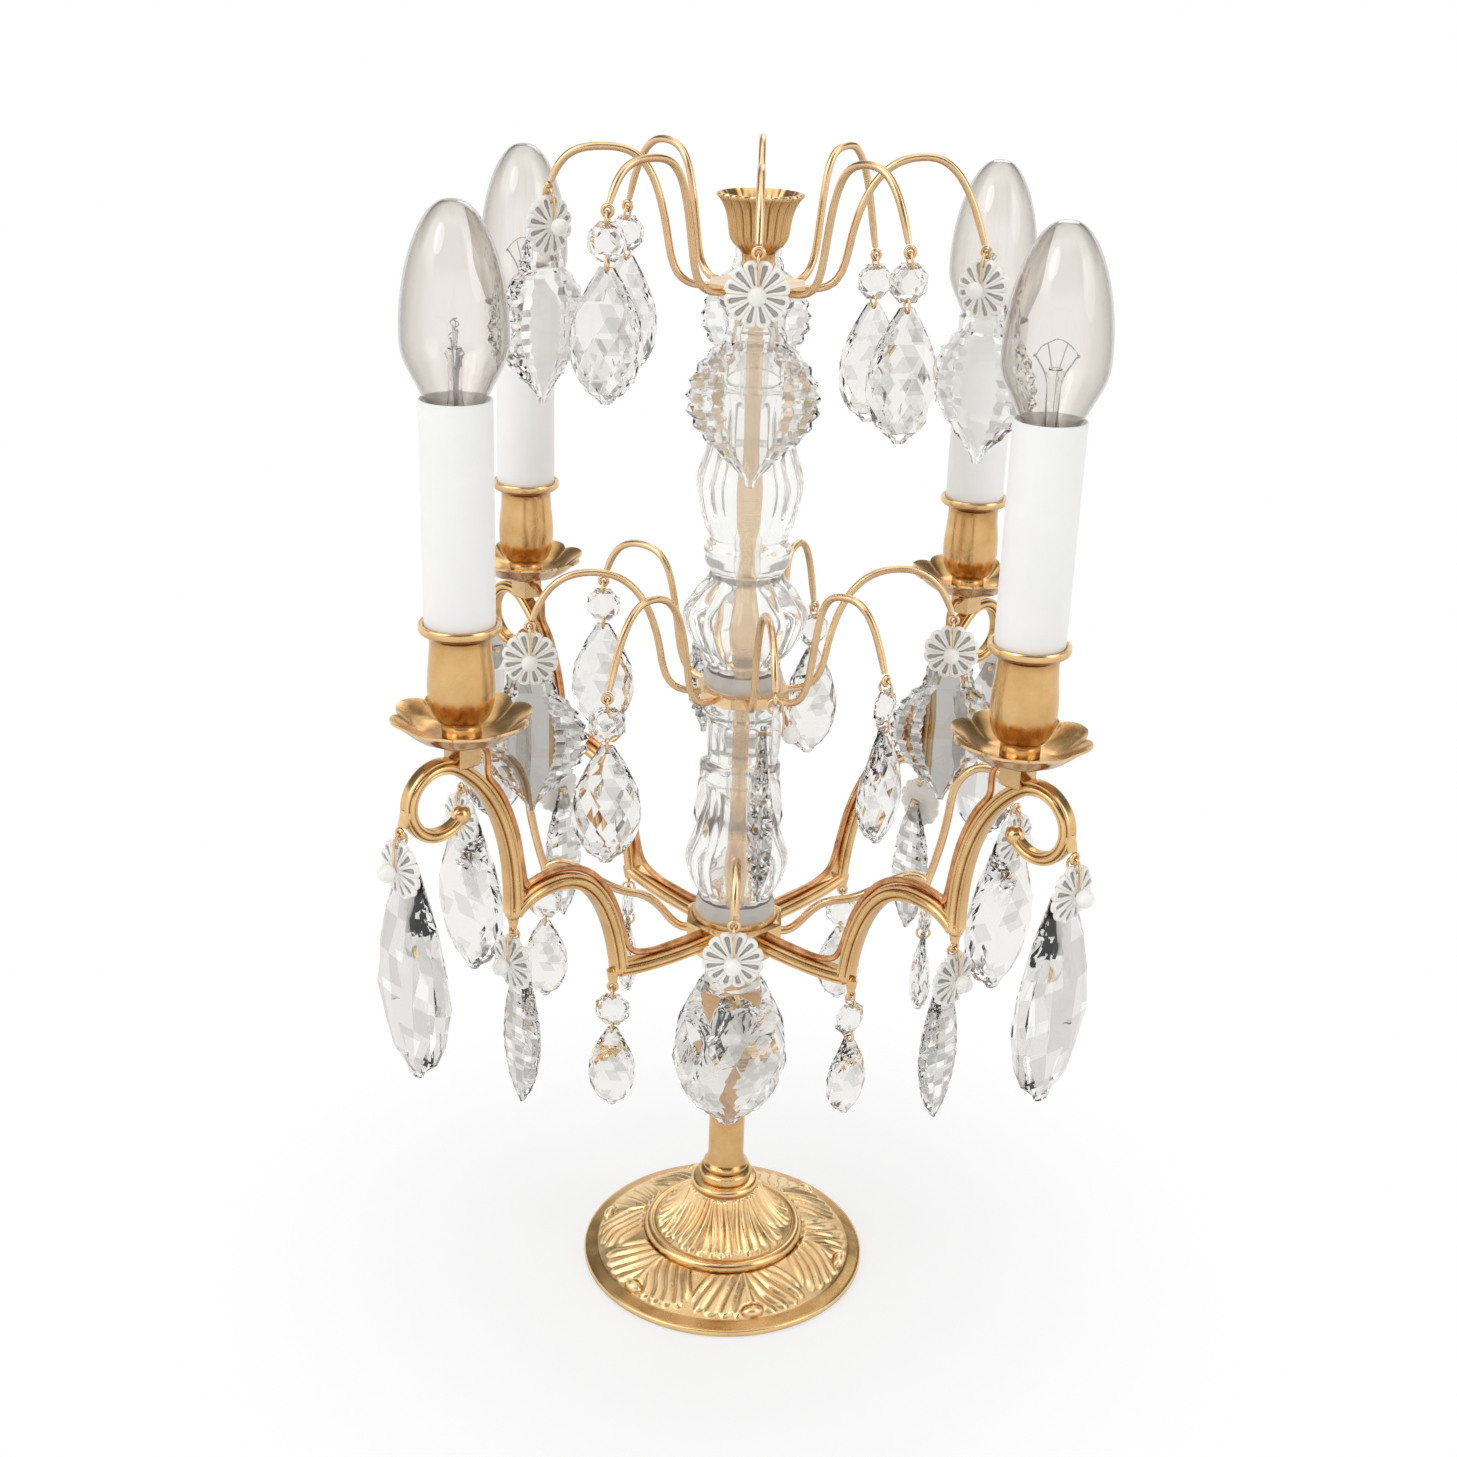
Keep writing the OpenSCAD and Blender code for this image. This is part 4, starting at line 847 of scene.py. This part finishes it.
def build_lamps():
    z0 = CAP_Z + CAP_H
    shell = lathe(np.vstack([bulb_line(0), bulb_line(0.7)[::-1]]), 72)
    cap = lathe(np.vstack([[[0, CAP_Z], [3, CAP_Z], [4, CAP_Z + 2], [6.6, CAP_Z + 3]],
                           [[6.6 + 0.4 * (i % 2), CAP_Z + 4 + 1.5 * i] for i in range(12)],
                           [[6.9, z0 - 3], [6.9, z0 - 0.2], [6.35, z0], [6.35, z0 - 4], [0, z0 - 4]]]), 48)
    flare = lathe([[0, z0 - 3], [5.2, z0 - 3], [3.2, z0 + 4], [2.2, z0 + 10], [2.4, z0 + 21], [3.2, z0 + 23],
                   [2.2, z0 + 25], [0, z0 + 25.5]], 32)
    filament = filament_shape(z0)
    for name, az in CORNERS.items():
        body = "lamp_" + name
        m = at(az, CANDLE_R, 0, az + 45)
        piece(Shape().merge(shell, m), "bulb_" + name, LAMP, body, 45, [body])
        piece(Shape().merge(cap, m), "cap_" + name, CAP, body, 40)
        piece(Shape().merge(flare, m), "lamp_stem_" + name, LAMP_STEM, body, 45)
        piece(Shape().merge(filament, m), "filament_" + name, FILAMENT, body, 60)


# ---------------------------------------------------------------- hanging drops

# Sections down a drop: share of its length, of its half width and of its thickness
PEAR = [[0, 0.2, 0], [0.08, 0.38, 0.02], [0.22, 0.66, 0.22], [0.4, 0.92, 0.7], [0.58, 1, 1], [0.76, 0.88, 0.92],
        [0.9, 0.58, 0.6], [1, 0.16, 0.1]]
PLAQUE = [[0, 0.14, 0], [0.06, 0.2, 0.05], [0.1, 0.36, 0.15], [0.26, 0.48, 0.4], [0.32, 0.68, 0.7], [0.46, 0.94, 1],
          [0.58, 1, 1], [0.7, 0.86, 0.9], [0.83, 0.5, 0.5], [1, 0.06, 0]]
LEAF = [[0, 0.2, 0], [0.06, 0.3, 0.02], [0.2, 0.66, 0.2], [0.42, 0.95, 0.8], [0.58, 1, 1], [0.78, 0.78, 0.85],
        [0.92, 0.4, 0.5], [1, 0.06, 0]]
# Width, length and thickness of a drop, its sections and the notches on each side
SHAPES = {"plaque": ((45, 66, 9), PLAQUE, 13), "leaf": ((20, 62, 7), LEAF, 12),
          "long_pear": ((40, 84, 11), PEAR, 7), "big_pear": ((41, 70, 12), PEAR, 0),
          "pear": ((26, 46, 11), PEAR, 0), "small_pear": ((19, 34, 9), PEAR, 0)}
# Facets of a flat drop from its edge inwards, as shares of its half width and thickness: at a tip and at a notch
FACETS = {"plaque": ([(1.0, 0.2), (0.88, 0.82), (0.75, 0.6), (0.61, 0.96), (0.46, 1.0)],
                     [(0.93, 0.14), (0.85, 0.45), (0.7, 0.98), (0.57, 0.76), (0.4, 1.0)]),
          "leaf": ([(1.0, 0.2), (0.8, 0.76), (0.46, 0.84), (0.0, 1.0)],
                   [(0.94, 0.14), (0.86, 0.55), (0.58, 0.92), (0.0, 1.0)]),
          "long_pear": ([(1.0, 0.16), (0.8, 0.58), (0.5, 0.82), (0.0, 1.0)],
                        [(1.0, 0.16), (0.87, 0.66), (0.32, 0.97), (0.0, 0.9)])}
LONG_LEVELS = [0, 0.05, 0.14, 0.27, 0.45, 0.62, 0.78, 0.9, 0.97, 1]
KITE_LEVELS = [0, 0.06, 0.15, 0.26, 0.38, 0.5, 0.62, 0.73, 0.83, 0.91, 0.965, 1.0]
# Share of the facets in a drop's second tint: painted shade on the round pears and top plaques, painted glints on the
# other flat drops
PAINTED_KITE_SHARE, PAINTED_FACET_SHARE = 0.28, 0.36
# Upper edge and thickness of a drop at its hole; sizes of links, beads and rosettes
EDGE, TOP_T = 1.8, 2.2
LINK_R, LINK_WIRE = 2.6, 0.5
BEAD_R, ROSETTE_R = 6.6, 10.8
BEAD_DROP = 2 * LINK_R + BEAD_R - EDGE
ROSETTE_DROP = 2 * LINK_R + ROSETTE_R * 0.88 - EDGE
DROP_BACK = 3.7
DROP_KINDS = {"lug": "small_pear", "cusp": "leaf", "scroll": "long_pear", "spray_cusp": "small_pear",
              "spray_end": "big_pear"}


def outline(size, cut, v):
    """Half width and half thickness of a drop at shares v of its length."""
    c = np.array(cut)
    thick = TOP_T + (size[2] - TOP_T) * pchip(c[:, 0], c[:, 2], v)
    return size[0] / 2 * pchip(c[:, 0], c[:, 1], v), thick / 2


def pear_drop(size, cut):
    """Drop cut all over into a lattice of kite facets."""
    lev = np.array(KITE_LEVELS)
    half, thick = outline(size, cut, lev)
    n = 12
    rows = []
    for j, v in enumerate(lev):
        a = (np.arange(n) + 0.5 * (j % 2)) * TAU / n
        x = thick[j] * np.sign(np.sin(a)) * np.abs(np.sin(a)) ** 0.85
        rows.append(np.stack([x, half[j] * np.cos(a), np.full(n, EDGE - size[1] * v)], 1))
    faces = []
    for j in range(len(rows) - 1):
        o = j % 2
        for i in range(n):
            a, b = j * n + i, j * n + (i + 1) % n
            c, d = (j + 1) * n + (i + o) % n, (j + 1) * n + (i + o - 1) % n
            faces += [(a, b, c), (a, c, d)]
    s = Shape()
    # Painted shade: random facets take the second, greyer glass.
    light = np.random.default_rng(5).random(len(faces) // 2) < PAINTED_KITE_SHARE
    s.marks = np.flatnonzero(np.repeat(light, 2)).tolist()
    last = len(rows) * n - 1
    return s.add(np.concatenate(rows), faces + [tuple(range(n)), tuple(range(last, last - n, -1))])


def flat_drop(shape):
    """Flat drop with a border of facets in two tints, the second painting shade or glints by drop; the middle of both
    faces keeps one tint.
    """
    size, cut, teeth = SHAPES[shape]
    v = np.array(LONG_LEVELS) if shape == "long_pear" else np.linspace(0, 1, 2 * teeth + 1)
    half, thick = outline(size, cut, v)
    rows = []
    for j, z in enumerate(EDGE - size[1] * v):
        front = [(x * thick[j], y * half[j], z) for y, x in FACETS[shape][j % 2]]
        front += [(x, -y, z_) for x, y, z_ in front[::-1]]
        rows.append(front + [(-x, y, z_) for x, y, z_ in front[::-1]])
    rows = np.array(rows)
    s = Shape().grid(rows)
    # Random border facets take the second glass: painted shade on top plaques, painted glints on the others.
    light = np.random.default_rng(teeth).random((len(v) - 1, rows.shape[1])) < PAINTED_FACET_SHARE
    quarter = rows.shape[1] // 4
    light[:, [quarter - 1, 3 * quarter - 1]] = False
    s.marks = np.flatnonzero(light.ravel()).tolist()
    s.cap(rows[0][::-1])
    s.cap(rows[-1])
    return s


def bead_shape():
    """Flat octagonal bead; its sections are [depth, share of the radius, share of a turn by one corner]."""
    n = 8
    sec = [(-2.6, 0.5, 0), (-1.5, 0.8, 0.5), (-0.5, 1.0, 0), (0.5, 1.0, 0), (1.5, 0.8, 0.5), (2.6, 0.5, 0)]
    rows = []
    for x, k, o in sec:
        a = np.arange(n) * TAU / n + TAU / (2 * n) + o * TAU / n
        r = BEAD_R * k / math.cos(TAU / (2 * n))
        rows.append(np.stack([np.full(n, x), r * np.cos(a), r * np.sin(a)], 1))
    faces = []
    for j in range(len(sec) - 1):
        d = sec[j + 1][2] - sec[j][2]
        for i in range(n):
            p, q = j * n + i, j * n + (i + 1) % n
            u, v = p + n, q + n
            if d == 0:
                faces.append((p, q, v, u))
            elif d > 0:
                faces += [(p, q, u), (q, v, u)]
            else:
                faces += [(p, q, v), (p, v, u)]
    last = len(sec) * n - 1
    return Shape().add(np.concatenate(rows), faces + [tuple(range(n)), tuple(range(last, last - n, -1))])


def rosette_shape():
    """Pressed rosette: twelve round petals, each with a hollow, facing +X; the deepest faces of the hollows are marked
    for painted shade.
    """
    a = np.linspace(0, TAU, 288, endpoint=False)
    petal = (a * 12 / TAU + 0.5) % 1.0 - 0.5
    edge = ROSETTE_R * (0.86 + 0.14 * np.sqrt(np.clip(1 - (2 * petal) ** 2, 0, 1)))
    rho = np.array([[0.07, 0.16, 0.25, 0.3, 0.36, 0.43, 0.5, 0.57, 0.64, 0.71, 0.77, 0.82, 0.86, 0.9, 0.95, 0.985,
                     1.0]]).T
    dome = 0.5 + 1.9 * np.sqrt(np.clip(1 - rho ** 2, 0, 1))
    valley = (2 * np.abs(petal)) ** 6 * step(0.3, 0.6, rho)
    width = 0.1 + 0.17 * np.clip(rho, 0.25, 0.8) - 0.9 * np.clip(rho - 0.76, 0, 1)
    hollow = 1 / (1 + (petal / np.maximum(width, 0.02)) ** 6)
    depth = hollow * (step(0.24, 0.3, rho) * step(0.0, 0.05, 0.9 - rho))
    x = np.maximum(dome - 0.5 * valley - 1.1 * depth, -0.2)
    r = rho * (ROSETTE_R * 0.93 + (edge - ROSETTE_R * 0.93) * step(0.2, 0.8, rho))
    front = np.stack([x, r * np.cos(a + TAU / 24), r * np.sin(a + TAU / 24)], 2)
    back = front[::-1].copy()
    back[..., 0] = -1.0 + 0.7 * rho[::-1] ** 6
    s = Shape().grid(np.concatenate([front, back]), closed=True)
    # Painted shade: the deepest faces of the hollows take the dark glass.
    after = np.roll(depth, -1, 1)
    deep = (depth[:-1] + depth[1:] + after[:-1] + after[1:]) / 4
    s.marks = np.flatnonzero(deep.ravel() > 0.55).tolist()
    return s


def link(shape, z):
    """Closed wire ring round z."""
    a = np.linspace(0, TAU, 28, endpoint=False)
    path = np.stack([LINK_R * np.cos(a), 0 * a, z + LINK_R * np.sin(a)], 1)
    tube(shape, path, LINK_WIRE, 8, closed=True)


def chain(shape):
    """Glass, rosette and wire of one hanging chain, hung from the origin and facing +X."""
    size, cut, teeth = SHAPES[shape]
    glass_part, flower, wire_part = Shape(), Shape(), Shape()
    drop = flat_drop(shape) if teeth else pear_drop(size, cut)
    link(wire_part, -LINK_R)
    if shape in ("pear", "small_pear"):
        glass_part.merge(bead_shape(), Matrix.Translation((0, 0, -BEAD_DROP)))
        glass_part.merge(drop, Matrix.Translation((0, 0, -2 * BEAD_DROP)))
        link(wire_part, LINK_R - 2 * BEAD_DROP)
    else:
        z = -ROSETTE_DROP
        flower.merge(rosette_shape(), Matrix.Translation((0, 0, z)))
        glass_part.merge(drop, Matrix.Translation((-DROP_BACK, 0, z)))
        ball(flower, (5.9, 0, z), 3.2, 20)
        tube(wire_part, [[-5.6, 0, z], [-5.0, 0, z], [3.2, 0, z]], 0.6, 10)
        ball(wire_part, (-5.5, 0, z), 1.2, 12, (0.5, 1, 1))
        hook = [[2.9, 0, z], [3.2, 0.4, z + 4], [2.6, 0.2, z + 9.5], [0.9, 0, -0.3]]
        tube(wire_part, smooth_line(hook, 6), 0.4, 8)
    return glass_part, flower, wire_part


def drop_kind(child):
    tag, side = child.split("_drop_")
    if tag in ("top", "mid"):
        return "plaque" if side in SIDES else "pear"
    return DROP_KINDS[tag]


def drop_tints(child, flat):
    """Main and second glass of a drop: the grey and darker glasses are painted shade, and the bright glass as a second
    glass paints glints on facets.
    """
    if not flat:
        return CRYSTAL, GREY
    if child.startswith("top"):
        return BRIGHT, GREY
    return (GREY if child.startswith("scroll") else SHADED_CRYSTAL), BRIGHT


def build_drops():
    for child in JOINTS:
        if "_drop_" in child:
            az, r, z, face = polar(child)
            m = at(az, r, z, face)
            kind = drop_kind(child)
            glass_part, flower, wire_part = chain(kind)
            first, second = drop_tints(child, kind in FACETS)
            cut = Shape().merge(glass_part, m)
            piece(cut, child + "_glass", first, child, 5, [child], marked=second)
            piece(Shape().merge(wire_part, m), child + "_wire", WIRE, child, 60)
            if flower.count:
                rosette = Shape().merge(flower, m)
                # The rosette's hollows take the dark glass of painted shade.
                piece(rosette, child + "_rosette", PRESSED, child, 40, marked=HOLLOW_SHADE)


# ---------------------------------------------------------------- camera, light and floor

# Viewpoint: place in metres, tilts in degrees, focal length over picture width
CAMERA_Y, CAMERA_Z = -0.711, 0.525
PITCH, ROLL, YAW = 21.6, 1.94, -0.40
FOCAL, SENSOR = 1957 / 1457, 36
# Brightness of the room by share of a turn: dim walls, two windows and a weak glow in the middle
WALLS = ((0.0, 0.12), (0.1, 0.12), (0.13, 2.2), (0.22, 2.2), (0.26, 0.12), (0.44, 0.2), (0.47, 0.6), (0.53, 0.6),
         (0.56, 0.2), (0.74, 0.12), (0.78, 1.6), (0.85, 1.6), (0.88, 0.12), (0.95, 0.12))
CEILING = 1.25
# Lamps: place, size and power
LAMPS = {"key": ((-0.9, -1.1, 1.5), 0.8, 4), "fill": ((1.2, -0.7, 0.9), 0.8, 1.5), "back": ((0.3, 1.3, 1.3), 0.8, 2)}
LAMP_TARGET = (0, 0, 0.25)
FLOOR_R, FLOOR_Z, FLOOR_N = 3, -0.0002, 96


def build_camera():
    pitch, roll, yaw = (math.radians(v) for v in (PITCH, ROLL, YAW))
    fwd = Vector((math.sin(yaw) * math.cos(pitch), math.cos(yaw) * math.cos(pitch), -math.sin(pitch)))
    side = Vector((math.cos(yaw), -math.sin(yaw), 0))
    up = side.cross(fwd)
    x = side * math.cos(roll) + up * math.sin(roll)
    y = -side * math.sin(roll) + up * math.cos(roll)
    cam = bpy.data.cameras.new("camera")
    cam.sensor_width = SENSOR
    cam.lens = SENSOR * FOCAL
    cam.clip_start = 0.01
    ob = put("camera", cam)
    ob.matrix_world = Matrix(((x.x, y.x, -fwd.x, 0), (x.y, y.y, -fwd.y, CAMERA_Y),
                              (x.z, y.z, -fwd.z, CAMERA_Z), (0, 0, 0, 1)))
    bpy.context.scene.camera = ob


def build_lights():
    for name, (place, size, power) in LAMPS.items():
        light = bpy.data.lights.new(name, "AREA")
        light.shape = "DISK"
        light.size = size
        light.energy = power
        ob = put(name, light)
        ob.location = place
        ob.rotation_euler = (Vector(LAMP_TARGET) - Vector(place)).to_track_quat("-Z", "Y").to_euler()


def build_world():
    """White all round up to a little above the horizon; over it a dim room with two windows."""
    world = bpy.data.worlds.new("studio")
    bpy.context.scene.world = world
    world.use_nodes = True
    nt = world.node_tree
    co = nt.nodes.new("ShaderNodeTexCoord")
    sep = nt.nodes.new("ShaderNodeSeparateXYZ")
    nt.links.new(co.outputs["Generated"], sep.inputs[0])
    turn = map_range(nt, calc(nt, "ARCTAN2", sep.outputs["X"], sep.outputs["Y"]), -math.pi, math.pi)
    height = map_range(nt, sep.outputs["Z"], -1.0, 1.0)
    walls = ramp(nt, turn, [(p, grey(v)) for p, v in WALLS])
    upper = ramp(nt, height, [(0.5, grey(0)), (0.85, grey(0)), (0.94, grey(1)), (1.0, grey(1))])
    room = mix(nt, upper, walls, grey(CEILING))
    lower = ramp(nt, height, [(0.62, grey(1)), (0.69, grey(0))])
    nt.links.new(mix(nt, lower, room, grey(1.0)), nt.nodes["Background"].inputs["Color"])


def build_floor():
    """White floor: takes the object's shadow near it and runs out into the white behind it."""
    me = bpy.data.meshes.new("floor")
    rim = [(FLOOR_R * math.cos(i * TAU / FLOOR_N), FLOOR_R * math.sin(i * TAU / FLOOR_N), FLOOR_Z)
           for i in range(FLOOR_N)]
    me.from_pydata(rim, [], [tuple(range(FLOOR_N))])
    m, nt, b = new_material("white_floor")
    b.inputs["Base Color"].default_value = (0.9, 0.9, 0.9, 1)
    b.inputs["Roughness"].default_value = 0.7
    b.inputs["Specular IOR Level"].default_value = 0.2
    glow = node(nt, "ShaderNodeEmission", Color=(1, 1, 1, 1), Strength=1.0)
    path = nt.nodes.new("ShaderNodeLightPath")
    co = nt.nodes.new("ShaderNodeTexCoord")
    far = nt.nodes.new("ShaderNodeVectorMath")
    far.operation = "LENGTH"
    nt.links.new(co.outputs["Object"], far.inputs[0])
    share = map_range(nt, far.outputs["Value"], 0.07, 0.24, (0.6, 1.0), smooth=True)
    seen = path.outputs["Is Camera Ray"]
    for ray in ("Is Glossy Ray", "Is Transmission Ray"):
        seen = calc(nt, "MAXIMUM", seen, path.outputs[ray])
    mix_surface(nt, calc(nt, "MULTIPLY", seen, share), b, glow)
    me.materials.append(m)
    ob = put("floor", me)


build_camera()
build_foot()
build_stem()
build_hub()
build_top_cup()
build_column()
build_crown("top_drop_", TOP_Z, TOP_ARCH, "top_crown_wires")
build_crown("mid_drop_", MID_Z, MID_ARCH, "mid_crown_wires")
build_candle_arms()
build_flexes()
build_spray_arms()
build_pans()
build_cups()
build_sleeves()
build_lamps()
build_drops()
for names, finish in ((("mid_crown_plate", "top_crown_plate"), WIRE), (("tie_rod",), GILT),
                      (("foot_washer", "foot_nut"), STEEL), (("lampholders",), IVORY)):
    for name in names:
        dress(name, finish)

build_world()
build_lights()
build_floor()

scene = bpy.context.scene
scene.view_settings.view_transform = "Standard"
scene.cycles.max_bounces = 24
scene.cycles.transmission_bounces = 24
scene.cycles.glossy_bounces = 6
scene.cycles.transparent_max_bounces = 24
